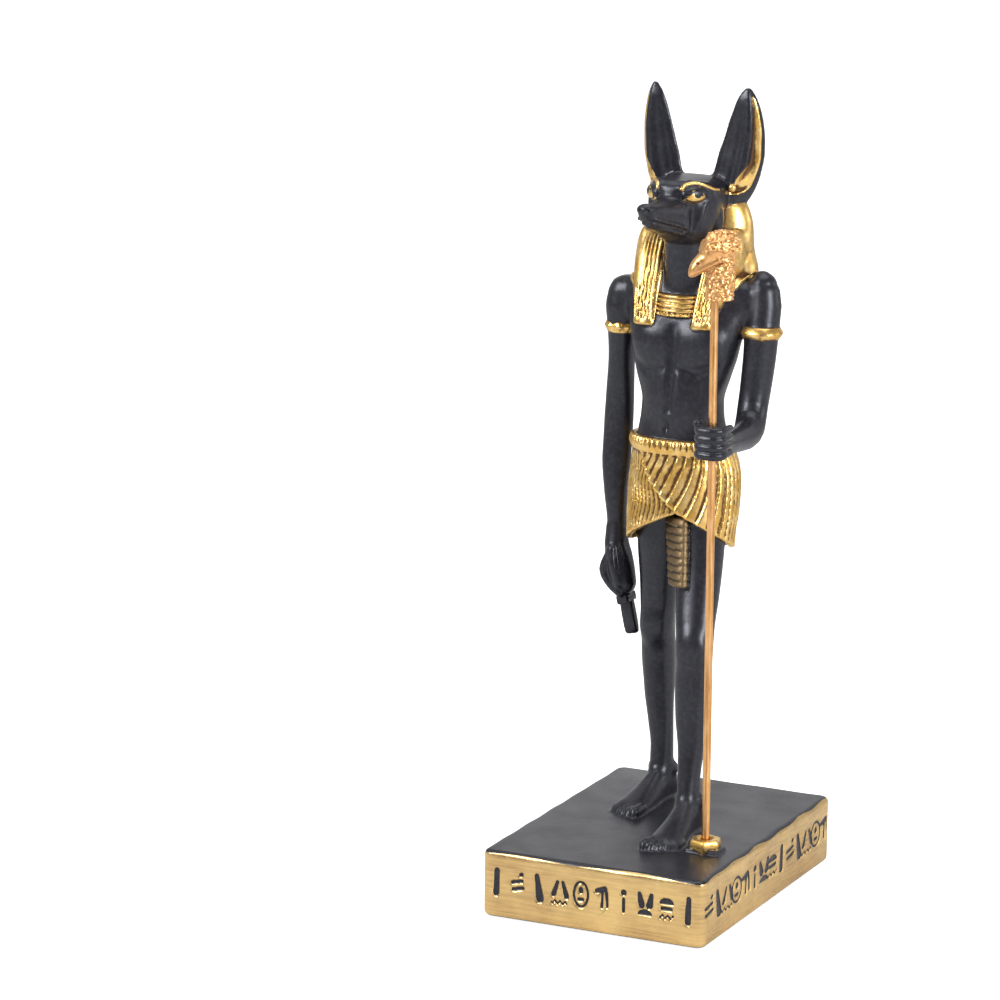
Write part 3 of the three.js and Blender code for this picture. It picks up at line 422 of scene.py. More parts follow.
def left_fist():
    """The fist round the staff, its fingers laid one over the other."""
    x, y, z = FIST
    palm = [(z - 4.3, x, y + 0.6, 2.4, 2.8), (z - 3.6, x, y + 0.3, 3, 3.3), (z + 3.4, x, y + 0.3, 3, 3.3),
            (z + 4.3, x, y + 0.6, 2.4, 2.6)]
    pieces = [(stack(palm, power=2.6), 0.8)]
    for finger in range(4):
        height = z + 3.1 - 2.05 * finger
        line = [(x + 3.4, y + 3.2, height, 0.9), (x + 3.4, y - 1.6, height, 1.15),
                (x + 1.2, y - 3.5, height, 1.15), (x - 2, y - 3.1, height, 1.15),
                (x - 3.4, y - 0.4, height - 0.1, 1.05), (x - 2.6, y + 1.2, height, 0.9)]
        pieces.append((limb(line), 0.08))
    thumb = [(x - 1, y + 4.2, z + 2.2, 1.3), (x - 3.1, y + 1.6, z + 3.6, 1.3), (x - 3.6, y - 1.6, z + 4.6, 1)]
    pieces.append((limb(thumb), 0.15))
    return pieces


# The head

EYE_FORWARD = 5.0
EYE_HEIGHT = 161.1
EYE_TURN = math.radians(46)
FACE_X = HEAD_X - 0.4
NOSE_X = HEAD_X - 0.6
FACE_REACH = np.linspace(0, 11, 221)      # where the head's side is looked for, out from its middle
# Each jaw's edge, as (out, forward, height, radius)
JAW = ((3.3, 6.5, 152.6, 1.6), (2.5, 12, 153.9, 1.3), (1.3, 19.6, 156.4, 1.1))
# The upper lid, as (forward, height, radius), and as (forward, height) the brow's arc from its inner end and
# the mouth's line from the nose
LID = ((7.3, 160.2, 0.25), (6.2, 162.4, 0.35), (4.2, 163.2, 0.4), (2.8, 162, 0.3), (1.9, 160.3, 0.2))
BROW = ((7.4, 162.9), (6.7, 163.8), (4.2, 164.3), (1.8, 163.3), (-0.4, 162.3), (-2.4, 162))
MOUTH = ((22, 156.8), (20, 156), (15.7, 154.7), (10.5, 153.3), (7.6, 152.3))
LIP_RISE = 0.85          # how far each lip lies from that line


def on_face(side, forward, height, out=0.0, form=None):
    """The point of the head's side, this far forward and up, moved outwards by a little."""
    line = np.stack([FACE_X + side * FACE_REACH, np.full(FACE_REACH.shape, -forward),
                     np.full(FACE_REACH.shape, height)], axis=1)
    inside = np.flatnonzero(carve(Scatter(line.astype(np.float32)), form or bare_head()) < 0)
    return (FACE_X + side * (FACE_REACH[inside[-1] + 1 if len(inside) else 0] + out), -forward, height)


def bare_head():
    """The skull, the snout and the jaws, before anything is laid on them."""
    pieces = [(stack(SKULL, "forward", SKULL_POWER, SKULL_TAPER, ends=3.2), 1),
              (stack(SNOUT, "forward", 2.4), 1.6)]
    for side in (-1, 1):
        edge = [(FACE_X + side * out, -forward, height, radius) for out, forward, height, radius in JAW]
        pieces.append((limb(edge), 1.2))
    return pieces


def face_line(side, points, width, out, form=None):
    """A soft line laid on the head's side through points (forward, height, radius)."""
    return limb([(*on_face(side, f, h, out, form), r) for f, h, r in points]), width


def head_pieces():
    """The head with its ridges, eyes, nose and nostrils."""
    pieces = bare_head()
    for side in (-1, 1):
        pieces += [
            face_line(side, ((6.6, 163, 0.6), (4.4, 164, 0.8), (0.6, 163.2, 0.6)), 1.4, -0.45),
            face_line(side, ((7.2, 159.2, 0.5), (7.2, 156, 0.8), (6.4, 152.8, 0.6)), 0.8, -0.3),
            face_line(side, ((2.6, 158.8, 0.4), (3.3, 155.9, 0.9), (4.2, 152, 0.5)), 0.9, -0.4),
            (*face_line(side, ((5.4, 158.4, 0.5), (5.4, 156, 0.8), (5.2, 153, 0.6)), 1, 0.3), "cut"),
            face_line(side, [(f, h + LIP_RISE, 0.55) for f, h in MOUTH[1:]], 0.4, -0.12),
            face_line(side, [(f, h - LIP_RISE, 0.5) for f, h in MOUTH[1:]], 0.4, -0.15),
        ]
        turn = side * EYE_TURN
        socket = on_face(side, EYE_FORWARD, EYE_HEIGHT, 0.45)
        eyeball = on_face(side, EYE_FORWARD, EYE_HEIGHT + 0.2, -0.35)
        pieces.append((ball(socket, (4.2, 0.8, 2.4), turn), 0.6, "cut"))
        pieces.append((ball(eyeball, (3.4, 1.6, 2.1), turn), 0.1))
        pieces.append(face_line(side, LID, 0.15, 0.2))
    pieces.append((ball((NOSE_X, -21.4, 159.4), (2.35, 1.9, 1.6)), 0.6))
    for side in (-1, 1):
        wing = [(NOSE_X + side * 2, -22.6, 158.6, 0.25), (NOSE_X + side * 2.7, -20.9, 158.4, 0.32)]
        pieces.append((ball((NOSE_X + side * 1.2, -23, 159.3), (0.6, 0.9, 0.5)), 0.25, "cut"))
        pieces.append((limb(wing), 0.2, "cut"))
        pieces.append((ball((HEAD_X + side * 8.7, 4.4, 153.8), (0.9, 1.5, 3.7)), 0.15))
    pieces.append((limb([(NOSE_X, -23.4, 158.6, 0.22), (NOSE_X, -22.6, 157, 0.25)]), 0.2, "cut"))
    return pieces


def mouth_cuts():
    """The line of the mouth on each side."""
    form = head_pieces()
    return [(*face_line(side, [(f, h, 0.5) for f, h in MOUTH], 0.1, 0, form), "cut") for side in (-1, 1)]


def eye_at(side, x, y, z):
    """A point in an eye's own face: how far out from its middle, how far above its corners, how deep."""
    middle = on_face(side, EYE_FORWARD, EYE_HEIGHT)
    out, deep = turned(x - middle[0], y - middle[1], side * EYE_TURN)
    return side * out, z - EYE_HEIGHT + 1, deep


def eye_gilding(x, y, z):
    """How far a point lies inside the gold of an eye: an almond without its pupil and its inner outline."""
    best = np.full(x.shape, -1.0)
    for side in (-1, 1):
        out, up, deep = eye_at(side, x, y, z)
        arch = 1 - (out / 3.2) ** 2
        almond = np.minimum(2.75 * arch - up, up + 1.05 * arch) * 0.8
        pupil = np.hypot(out - 0.5, up - 1.6) - 1.1
        outline = np.abs(almond - 0.45) - 0.16
        gold = np.minimum(np.minimum(almond, pupil), outline)
        best = np.maximum(best, np.where(np.abs(deep) < 2.2, gold, -1))
    return best


def ear_section(x, y, z, side):
    """A point in an ear's own section, along it to the outer edge and behind it, and the section's sizes."""
    centre_x, centre_y, half, keel, behind = along(EAR, z)
    u, v = turned(side * (x - HEAD_X) - centre_x, y - centre_y, EAR_TURN)
    return u, v, np.maximum(half, 0.2), np.maximum(keel, 0.2), np.maximum(behind, 0.15)


def leaf_gap(u, v, half, keel, behind):
    """How far a point lies outside an ear's many-sided section."""
    corners = [(a * half, b * (keel if b < 0 else behind)) for a, b in EAR_SECTION]
    nearest, inside = np.inf, True
    for (ax, ay), (bx, by) in zip(corners, corners[1:] + corners[:1]):
        dx, dy = bx - ax, by - ay
        share = np.clip(((u - ax) * dx + (v - ay) * dy) / (dx * dx + dy * dy), 0, 1)
        away = np.hypot(u - ax - dx * share, v - ay - dy * share)
        left = dx * (v - ay) - dy * (u - ax) > 0
        nearest = np.minimum(nearest, away)
        inside = inside & left
    return np.where(inside, -nearest, nearest)


def hollow_foot(z):
    """How far a height lies down the lowest part of an ear's hollow, where it sweeps forward to the keel."""
    return np.clip((HOLLOW_SWEEP - z) / 7.8, 0, 1)


def hollow_section(u, v, half, keel, z, wider=0.0):
    """The hollow between an ear's keel and its outer edge: a point's gap from it, and its place across it."""
    turn = np.arctan2(keel, half)
    foot = hollow_foot(z)
    end = np.clip(np.minimum((z - HOLLOW_LOW) / 2.5, (HOLLOW_HIGH - z) / 12), 0, 1)
    size = (0.4 + 0.6 * np.sqrt(end * (2 - end))) * (1 + 1.2 * foot) + 0.05 * np.sin(z * 0.9)
    length = np.hypot(half, keel) * HOLLOW_HALF * size
    depth = keel * HOLLOW_DEPTH * np.minimum(size, 1)
    swept = 0.5 * foot**1.5
    du = u - (HOLLOW_PLACE[0] - swept) * half
    dv = v - np.maximum(HOLLOW_PLACE[1] - 1.18 * swept, -0.95) * keel
    p, q = du * np.cos(turn) + dv * np.sin(turn), dv * np.cos(turn) - du * np.sin(turn)
    side = oval(p, q, length + wider, depth + wider)
    return overlap(side, np.maximum(HOLLOW_LOW - wider - z, z - HOLLOW_HIGH - wider), 0.8), p / length


def ear_piece(side):
    """A grooved, folded leaf with its hollow."""
    def gap(x, y, z):
        u, v, half, keel, behind = ear_section(x, y, z, side)
        front = np.clip(-v / keel, 0, 1)
        fade = np.clip((z - 160) / 3, 0, 1) * np.clip((184 - z) / 10, 0, 1)
        grooves = sum(depth * np.exp(-(((u / half - place) / wide) ** 2))
                      for place, wide, depth in ((-0.6, 0.16, 0.25), (-0.2, 0.2, 0.5), (0.1, 0.09, 0.12)))
        outer = leaf_gap(u, v, half, keel, behind) + grooves * fade * np.clip(front * 4, 0, 1)
        outer = overlap(outer, np.maximum(EAR_LOW - z, z - EAR_HIGH), 0.6)
        hollow, across = hollow_section(u, v, half, keel, z)
        trough = 0.35 * np.exp(-((across / 0.35) ** 2)) - 0.25
        return overlap(outer, -(hollow - trough), 0.25)

    low_x, high_x = sorted((HEAD_X + side, HEAD_X + side * 19))
    return (low_x, 3, EAR_LOW), (high_x, 21, EAR_HIGH), gap


def ear_bead(side):
    """The little bead at the front of the foot of an ear's hollow."""
    return ball((HEAD_X + side * 10.6, 7.3, 161.8), (1, 0.9, 1.1))


def hollow_gap(x, y, z):
    """How far a point lies outside the gilded hollows of the two ears."""
    nearest = np.inf
    for side in (-1, 1):
        u, v, half, keel, _ = ear_section(x, y, z, side)
        hollow = hollow_section(u, v, half, keel, z, 0.3)[0]
        hollow = np.maximum(hollow, (0.43 - 0.8 * hollow_foot(z)) * half - u)
        nearest = np.minimum(nearest, hollow)
    return nearest


# What is gilded: the wig, the necklace, the bands, the belt, the kilt, the staff's ring and the brows

HOOD = [
    (133.5, 0.9, 9.2, 15.6, 7.8), (140, 0.9, 9.8, 15.6, 8.2), (146, 0.4, 10.8, 14.4, 8),
    (152, 0.1, 11.6, 14, 6.6), (157, 0, 11.6, 12.4, 5.7), (159.8, 0, 11.6, 8.5, 3),
]
LAPPET = [
    (127, 7.9, -3.2, 2.9, 2.7), (134, 8.5, 0, 3.2, 3.8), (140, 8.9, 3, 3.5, 4), (147, 9.2, 6.6, 3.6, 3.8),
    (150, 9.2, 8.2, 3, 3),
]
# The wig's sides, from the hood forward to the lappets: (forward, out, height, half width, half height)
WIG_SIDE = [
    (-11, 11.8, 142.4, 2.8, 8.8), (-6, 11.9, 142, 2.8, 8.6), (-3, 11.4, 139.8, 2.7, 7.2),
    (0, 10.6, 136.8, 2.5, 5.4), (2.6, 9.6, 133.6, 2.3, 3.6),
]
NECKLACE = [(129.6, HEAD_X, 0.9, 6.5, 6.1), (134.8, HEAD_X, 2.6, 6.2, 5.9)]
BELT = [(94.4, 1, 0.8, 13.4, 9.5), (96.2, 0.9, 0.8, 13.7, 9.8), (98.2, 0.8, 0.8, 13.2, 9.3)]
KILT = [
    (67, 2, -2.8, 14.2, 10.4), (73.5, 1.9, -2.1, 14.4, 10.2), (79.5, 2, -1.2, 14.9, 9.5),
    (85.5, 1.9, -0.2, 15, 9.3), (91.5, 1.6, 0.7, 14.4, 9.3), (96, 1, 0.8, 13.4, 9.3),
]
KILT_POWER = 2.1
KILT_TOP = 95.5          # where the pleats begin, just under the lid
KILT_LID = 96.5
HEM_LOW = 70
HEM_RISE = 9.8
HEM_PEAK = math.radians(-82)
HEM_REACH = math.radians(97)
WRAP_TOP = math.radians(-132)
WRAP_REACH = math.radians(215)
WRAP_LEAN = math.radians(38)      # how far the first pleats lean back from the hem up to the belt
WRAP_PLEATS = 25
KILT_PLEATS = 64
TAB_TOP = (2.9, -6.9, 78.5)
TAB_FOOT = (5.9, -12.4, 61.6)
TAB_TURN = math.radians(-38)
TAB_RIB = 1.85
# The wig's sheet over each shoulder: its lower edge, where that meets the head's middle and how it rises
# outwards, and the sheet's other limits
DRAPE_EDGE = 119.4
DRAPE_SLANT = 1.2
DRAPE_TOP = 145
DRAPE_INNER = 7
DRAPE_FRONT = -6
DRAPE_BACK = 6
DRAPE_WIDENS = 133
DRAPE_THICK = 0.55
DRAPE_BOX = ((-19, -8, 128), (19, 14, 151))
# (height, x, y, half width, half depth, with ovals)
ARMBANDS = ((124.2, -18.6, 5.4, 3.7, 4.1, True), (126, 21, 3.3, 4.3, 4.3, False))
ANKH = (-15.4, 3.1, 52.6)
ANKH_TILT = math.radians(12)
ANKH_HALF = 1.75         # half its thickness


def hood_relief(angle, z):
    """Soft folds round the hood, and its thick lower rim."""
    folds = 0.14 * np.sin(angle * 5 + 0.5 * np.sin(z * 0.12))
    rim = 0.3 * np.exp(-(((z - 134.4) / 0.9) ** 2))
    return folds + rim


def side_relief(angle, forward):
    """Faint folds on the wig's sides."""
    return 0.05 * np.cos(angle * 5 + forward * 0.35)


def lappet_relief(angle, z):
    """Upright stripes, evenly spaced across the lappet's face, over a plain rim at its foot."""
    share = np.sign(np.cos(angle)) * np.abs(np.cos(angle)) ** (2 / 3)
    stripes = np.abs(np.sin((share + 0.08) * 3.5 * math.pi)) ** 0.6
    rim = np.clip((128.9 - z) / 0.5, 0, 1)
    return 0.85 * stripes * (1 - rim) + 0.75 * rim - 0.45


def drape_gap(x, y, z, body):
    """The gap of the wig's sheet over each shoulder, from the body's own gap there."""
    out = np.abs(x - HEAD_X)
    edge = DRAPE_EDGE + DRAPE_SLANT * out - z + 0.25 * np.sin(out * 2)
    past_back = y - DRAPE_BACK - 8 * np.clip(z - DRAPE_WIDENS, 0, 1)
    across = np.maximum(DRAPE_INNER - out, np.maximum(DRAPE_FRONT - y, past_back))
    inside = np.maximum(np.maximum(edge, z - DRAPE_TOP), across)
    rim = 0.25 * np.exp(-(((edge + 0.8) / 0.5) ** 2))
    return overlap(body - DRAPE_THICK - rim, inside, 0.4)


def necklace_relief(angle, z):
    """Ribs one over the other, the lowest of them beaded."""
    ribs = np.abs(np.sin((z - 129.4) / 1.15 * math.pi)) ** 0.7
    beads = np.where(z < 130.6, 0.35 * np.cos(angle * 40), 0)
    return 0.7 * ribs - 0.2 + beads


def belt_relief(angle, z):
    """Upright beads over a plain band."""
    upper = np.clip((z - 95.7) / 0.5, 0, 1)
    beads = ridge(56, angle) * 0.75
    return upper * beads + (1 - upper) * 0.55 - 0.1


def armbands():
    """A band with three ovals on the right arm, and a plain one with a wavy edge on the left."""
    pieces = []
    for z, x, y, half_x, half_y, ornate in ARMBANDS:
        rows = [(z - 1.9, x, y, half_x, half_y), (z, x, y, half_x + 0.8, half_y + 0.8),
                (z + 1.9, x, y, half_x, half_y)]

        def relief(angle, height, middle=z, ornate=ornate):
            if ornate:
                across = np.mod(angle + 0.35, 0.7) - 0.35
                ovals = 0.45 * np.clip(1.3 - np.hypot(across / 0.24, (height - middle) / 1.1), 0, 1)
                rims = 0.3 * np.exp(-(((np.abs(height - middle) - 1.35) / 0.3) ** 2))
                return ovals + rims - 0.35
            waves = np.abs(np.sin(angle * 2.5)) * np.clip((middle - height) / 1.6, 0, 1)
            return 0.2 * np.exp(-(((height - middle) / 1.1) ** 2)) - 0.5 * waves

        pieces.append((stack(rows, ends=0.5, relief=relief), 0.1))
    return pieces


def turn_from(start, angle):
    """How far an angle lies from a start, the shorter way round."""
    return np.mod(angle - start + math.pi, FULL_TURN) - math.pi


def hem_at(angle):
    """The height of the kilt's hem, which rises to a peak in front."""
    drop = np.minimum(1, np.abs(turn_from(HEM_PEAK, angle)) / HEM_REACH)
    return HEM_LOW + HEM_RISE * (1 - drop) ** 1.2


def kilt_piece():
    """Upright pleats all round, and over them the wrapped panel. Its front edge slants from the belt to the
    hem's peak, and its pleats fan up and back from that edge and straighten towards the hip."""
    slant = HEM_PEAK - WRAP_TOP

    def gap(x, y, z):
        centre_x, centre_y, half_x, half_y = along(KILT, z)
        u, v = x - centre_x, y - centre_y
        side = oval(u, v, half_x, half_y, KILT_POWER)
        angle = drawn_angle(u, v, half_x, half_y, KILT_POWER)
        hem = hem_at(angle)
        down = np.clip((KILT_TOP - z) / (KILT_TOP - hem), 0, 1.05)
        gathered = np.minimum(1, 0.35 + 3 * down)
        under = 0.6 * ridge(KILT_PLEATS, angle + 0.03 * np.sin(z * 0.6)) - 0.45
        turn = np.mod(angle - WRAP_TOP + 0.6, FULL_TURN) - 0.6
        pleat = np.clip(turn / WRAP_REACH, 0, 1)
        for _ in range(3):
            lean = WRAP_LEAN * np.clip(1 - (pleat / 0.5) ** 2, 0, 1)
            pleat = np.clip((turn + lean * down) / WRAP_REACH, 0, 1.2)
        edge = turn - slant * down
        share = np.clip(turn / WRAP_REACH, 0, 1)
        crest = np.mod(pleat * WRAP_PLEATS, 1)
        fading = 1 - 0.5 * np.clip((share - 0.4) / 0.15, 0, 1)
        folds = 0.8 * (1 - crest) ** 0.8 * np.clip(crest / 0.14, 0, 1) * fading
        wrap = 0.75 - 1.5 * share**3 + folds - 0.3
        rim = 0.25 * np.exp(-(((edge - 0.05) / 0.04) ** 2))
        wrap = np.where((edge > 0) & (turn < WRAP_REACH), wrap + rim, -1)
        raised = np.maximum(under, wrap) * gathered
        skin = overlap(side - raised, np.maximum(hem - z, z - KILT_LID), 0.4)
        lining = overlap(side + 1.5, z - HEM_LOW - HEM_RISE - 1, 0.8)
        return overlap(skin, -lining, 0.2)

    return (-14, -13.5, 69), (18, 11, 97), gap


def tab_piece():
    """The ribbed tab that hangs below the kilt."""
    def gap(x, y, z):
        share = np.clip((z - TAB_FOOT[2]) / (TAB_TOP[2] - TAB_FOOT[2]), -0.2, 1.2)
        middle = [a + (b - a) * share for a, b in zip(TAB_FOOT, TAB_TOP)]
        u, v = turned(x - middle[0], y - middle[1], TAB_TURN)
        rib = np.mod((z - 0.05 * u - TAB_FOOT[2]) / TAB_RIB, 1)
        thick = 1.45 + 0.55 * (1 - rib) ** 0.7
        wide = 3.7 + 1.2 * share + 0.25 * (1 - rib)
        side = oval(u, v, wide, thick, 2.4)
        return overlap(side, np.maximum(TAB_FOOT[2] - z, z - TAB_TOP[2]), 0.4)

    return (-2.5, -17, 60), (11, -1.5, 80), gap


def ankh_piece():
    """A flat slab with a leaf-shaped loop, its face turned outwards."""
    def gap(x, y, z):
        out, rise = turned(x - ANKH[0], z - ANKH[2], ANKH_TILT)
        across = y - ANKH[1]
        foot = oval(across, rise + 4.9, 1.45, 4.9, 3)
        arms = np.maximum(np.abs(across) - 3, np.abs(rise + 0.15) - (0.9 + 0.13 * np.abs(across)))
        loop = oval(across, rise - 4, 2.1, 3.3)
        form = blended(blended(foot, arms, 0.4), loop, 0.4)
        return overlap(form, np.abs(out) - ANKH_HALF, 0.8)

    return (-19.5, -0.5, 42), (-12, 6.7, 61), gap


def socket_ring():
    """The gilded six-sided ring round the staff's foot."""
    x, y, z = STAFF_FOOT - Vector(FIGURE)

    def gap(px, py, pz):
        dx, dy, dz = px - x, py - y, pz - z
        corner = np.mod(np.arctan2(dy, dx) + 0.3, math.pi / 3) - math.pi / 6
        side = np.hypot(dx, dy) * np.cos(corner) - 3.75 + 0.25 * np.abs(dz - 1.1)
        return overlap(side, np.abs(dz - 0.75) - 1.75, 0.5)

    return (x - 4.6, y - 4.6, z - 1.2), (x + 4.6, y + 4.6, z + 2.6), gap


def gilded_pieces():
    """The wig, the necklace, the bands, the belt, the kilt and the ring."""
    def both_sides(rows):
        return [[(place, HEAD_X + side * out, *rest) for place, out, *rest in rows] for side in (-1, 1)]

    return [
        (stack(HOOD, power=2.1, ends=1.5, relief=hood_relief), 0.3),
        *[(stack(rows, "forward", power=2.6, relief=side_relief), 0.8) for rows in both_sides(WIG_SIDE)],
        *[(stack(rows, power=3, ends=0.5, relief=lappet_relief), 0.2) for rows in both_sides(LAPPET)],
        (stack(NECKLACE, power=2.4, ends=0.3, relief=necklace_relief), 0.1),
        *armbands(),
        (stack(BELT, power=2.2, ends=0.4, relief=belt_relief), 0.1),
        (kilt_piece(), 0.2),
        (socket_ring(), 0),
    ]


def brow_pieces():
    """The thin gilded brows over the eyes, thicker at their inner ends."""
    form = head_pieces()
    return [face_line(side, [(f, h, 0.5 - 0.05 * step) for step, (f, h) in enumerate(BROW)], 0.05, 0.12, form)
            for side in (-1, 1)]


# The plinth, the pad under the staff's ring, and the marks round it


def plinth_piece():
    """The block, its upright edges rounded in the casting and its upper edges worn."""
    width, depth, height = PLINTH
    middle = (-FIGURE[0], -FIGURE[1], -height / 2)

    def gap(x, y, z):
        past_x, past_y = (np.abs(p - m) - half / 2 + PLINTH_CORNER
                          for p, m, half in zip((x, y), middle, (width, depth)))
        outside = np.hypot(np.maximum(past_x, 0), np.maximum(past_y, 0))
        side = outside + np.minimum(np.maximum(past_x, past_y), 0) - PLINTH_CORNER
        wear = 0.12 * np.sin(x * 0.31 + 1.3 * np.sin(y * 0.17))
        wear = wear + 0.1 * np.sin(y * 0.45 + 1.5 * np.sin(x * 0.2 + z * 0.2))
        side = side + (0.1 + wear) * np.clip((z + 4) / 3, 0, 1)
        return overlap(side, np.maximum(z, -z - height), 1.6)

    low, high, _ = block(middle, (width / 2, depth / 2, height / 2))
    return low, high, gap


def pad_piece():
    """The raised pad under the staff's ring."""
    x, y, _ = STAFF_FOOT - Vector(FIGURE)
    return block((x, y, 0), (4.3, 3.2, 1), 0.35)


# Each form of a mark says how far a point of the plinth's side, (across, rise), lies outside it


def bar(p, h, r, q, i, s):
    """A stroke from (p, h) with radius r to (q, i) with radius s."""
    def gap(across, rise):
        dx, dy = q - p, i - h
        share = np.clip(((across - p) * dx + (rise - h) * dy) / (dx * dx + dy * dy), 0, 1)
        return np.hypot(across - p - dx * share, rise - h - dy * share) - r - (s - r) * share
    return gap


def mound(p, h, half, tall):
    """A half-moon on its flat side."""
    return lambda across, rise: np.maximum(oval(across - p, rise - h, half, tall), h - rise)


def hoop(p, h, half, tall):
    """The outline of an oval."""
    return lambda across, rise: np.abs(oval(across - p, rise - h, half, tall)) - 0.24


def wave(p, h, half):
    """A wavy line."""
    return lambda across, rise: np.maximum(
        np.abs(rise - h - 0.38 * np.sin((across - p) * 4.4)) - 0.26, np.abs(across - p) - half)


# The marks in the rows round the plinth: each is a few strokes about its own middle
MARKS = [
    [bar(0.1, 3, 0.6, -0.1, -3, 0.75)],
    [mound(0, 0.9, 1.9, 1.5), bar(-1.2, -0.3, 0.45, 1.2, -0.3, 0.45), wave(0, -2.4, 2)],
    [bar(-1.6, 2.6, 0.45, -0.9, -0.2, 0.85), bar(1.7, 2.6, 0.45, 1.2, -0.2, 0.85), mound(0, -2.8, 1.9, 1.4)],
    [bar(0, 2.1, 0.7, 0, 2.2, 0.7), bar(0, 0.6, 0.3, 0, -2.7, 0.34)],
    [bar(-1.5, 1.6, 0.5, 0.6, 2.2, 0.75), bar(0.1, 1.4, 0.3, -0.1, -2.6, 0.28),
     bar(1.2, 1.4, 0.3, 1.4, -2.2, 0.3)],
    [hoop(0, 0, 1.9, 3.2), bar(0, 1.4, 0.5, 0, 0.9, 0.6), bar(-0.5, -1.3, 0.4, 0.5, -1.3, 0.4)],
    [bar(-0.6, 2.4, 0.35, -1.7, -1, 0.6), bar(0.8, 2.4, 0.35, 1.9, -1.2, 0.65), wave(-0.2, -3, 2.2)],
    [bar(-0.5, 3, 0.55, 0.4, -2.8, 1)],
    [bar(-1.4, 0.4, 0.4, 1.2, 1, 0.4), bar(1, 2.6, 0.5, 1.1, 2.7, 0.5), bar(-1.2, -1.4, 0.4, 1.5, -0.8, 0.4)],
]
MARK_DEPTH = 0.5
MARK_PITCHES = (5.3, 5.6)
MARK_WIDTHS = (1, 1.55)
MARK_MARGIN = 4.2
MARK_HEIGHT = 9.6


def mark_cuts():
    """Shallow marks in a row round the plinth. They only suggest an inscription and say nothing."""
    cuts = []
    for side in range(4):
        across_side, out = (PLINTH[0], PLINTH[1] / 2) if side % 2 == 0 else (PLINTH[1], PLINTH[0] / 2)
        room = across_side - 2 * MARK_MARGIN
        count, wide = int(room // MARK_PITCHES[side % 2]), MARK_WIDTHS[side % 2]
        turn = Matrix.Rotation(side * math.pi / 2, 3, "Z")
        across, inwards = turn @ Vector((1, 0, 0)), turn @ Vector((0, 1, 0))
        for mark in range(count + 1):
            place = (0.5 - mark / count) * room
            middle = turn @ Vector((place, -out, 0)) - Vector(FIGURE)
            strokes = MARKS[(mark + 4 * side) % len(MARKS)]

            def gap(x, y, z, middle=middle, across=across, inwards=inwards, strokes=strokes, wide=wide):
                dx, dy = x - middle.x, y - middle.y
                along_side = (dx * across.x + dy * across.y) / wide
                shape = np.inf
                for stroke in strokes:
                    shape = np.minimum(shape, stroke(along_side, z - middle.z - MARK_HEIGHT))
                return np.maximum(shape - 0.1, np.abs(dx * inwards.x + dy * inwards.y) - MARK_DEPTH)

            reach = Vector((abs(across.x) * 2.6 * wide + 1, abs(across.y) * 2.6 * wide + 1, 4.4))
            centre = Vector((middle.x, middle.y, middle.z + MARK_HEIGHT))
            cuts.append((tuple(centre - reach), tuple(centre + reach), gap))
    return cuts


# Skins: from a carved field to a mesh


def skin_of(field, low, cell):
    """The closed surface where a field on a lattice passes zero: its corners and four-sided faces."""
    inside = field < 0
    corner_count = np.zeros([n - 1 for n in field.shape], np.uint8)
    for dx in (0, 1):
        for dy in (0, 1):
            for dz in (0, 1):
                nx, ny, nz = corner_count.shape
                corner_count += inside[dx:dx + nx, dy:dy + ny, dz:dz + nz]
    cells = np.argwhere((corner_count > 0) & (corner_count < 8)).astype(np.int32)
    number = np.full(corner_count.shape, -1, np.int32)
    number[tuple(cells.T)] = np.arange(len(cells))
    total = np.zeros((len(cells), 3), np.float32)
    crossings = np.zeros(len(cells), np.float32)
    for axis in range(3):
        others = [a for a in range(3) if a != axis]
        for first in (0, 1):
            for second in (0, 1):
                start = cells.copy()
                start[:, others[0]] += first
                start[:, others[1]] += second
                end = start.copy()
                end[:, axis] += 1
                a, b = field[tuple(start.T)], field[tuple(end.T)]
                crosses = (a < 0) != (b < 0)
                share = np.where(crosses, a / np.where(crosses, a - b, 1), 0)
                place = start.astype(np.float32)
                place[:, axis] += share
                total += place * crosses[:, None]
                crossings += crosses
    corners = total / crossings[:, None] * cell + low
    faces = []
    for axis in range(3):
        one, two = (axis + 1) % 3, (axis + 2) % 3
        ahead = np.moveaxis(inside, axis, 0)
        change = np.moveaxis(ahead[1:] != ahead[:-1], 0, axis)
        edges = np.argwhere(change).astype(np.int32)
        edges = edges[(edges[:, one] > 0) & (edges[:, two] > 0)]
        outwards = inside[tuple(edges.T)]
        around = []
        for back_one, back_two in ((1, 1), (0, 1), (0, 0), (1, 0)):
            place = edges.copy()
            place[:, one] -= back_one
            place[:, two] -= back_two
            around.append(number[tuple(place.T)])
        quads = np.stack(around, axis=1)
        quads[~outwards] = quads[~outwards][:, ::-1]
        faces.append(quads)
    return corners, np.concatenate(faces)


def mesh_of(name, corners, faces):
    """A mesh from its corners and its faces, which all have as many sides."""
    mesh = bpy.data.meshes.new(name)
    sides = faces.shape[1]
    mesh.vertices.add(len(corners))
    mesh.vertices.foreach_set("co", corners.astype(np.float32).ravel())
    mesh.loops.add(faces.size)
    mesh.loops.foreach_set("vertex_index", faces.astype(np.int32).ravel())
    mesh.polygons.add(len(faces))
    mesh.polygons.foreach_set("loop_start", np.arange(0, faces.size, sides, dtype=np.int32))
    mesh.update(calc_edges=True)
    mesh.validate()
    return mesh


def thinned(mesh, limit):
    """The same surface in at most this many triangles, kept close where it bends most."""
    holder = bpy.data.objects.new("thinning", mesh)
    bpy.context.scene.collection.objects.link(holder)
    triangles = sum(len(face.vertices) - 2 for face in mesh.polygons)
    thin = holder.modifiers.new("thin", "DECIMATE")
    thin.ratio = min(1, limit / triangles)
    thin.use_collapse_triangulate = True
    depsgraph = bpy.context.evaluated_depsgraph_get()
    result = bpy.data.meshes.new_from_object(holder.evaluated_get(depsgraph))
    bpy.data.objects.remove(holder)
    return result


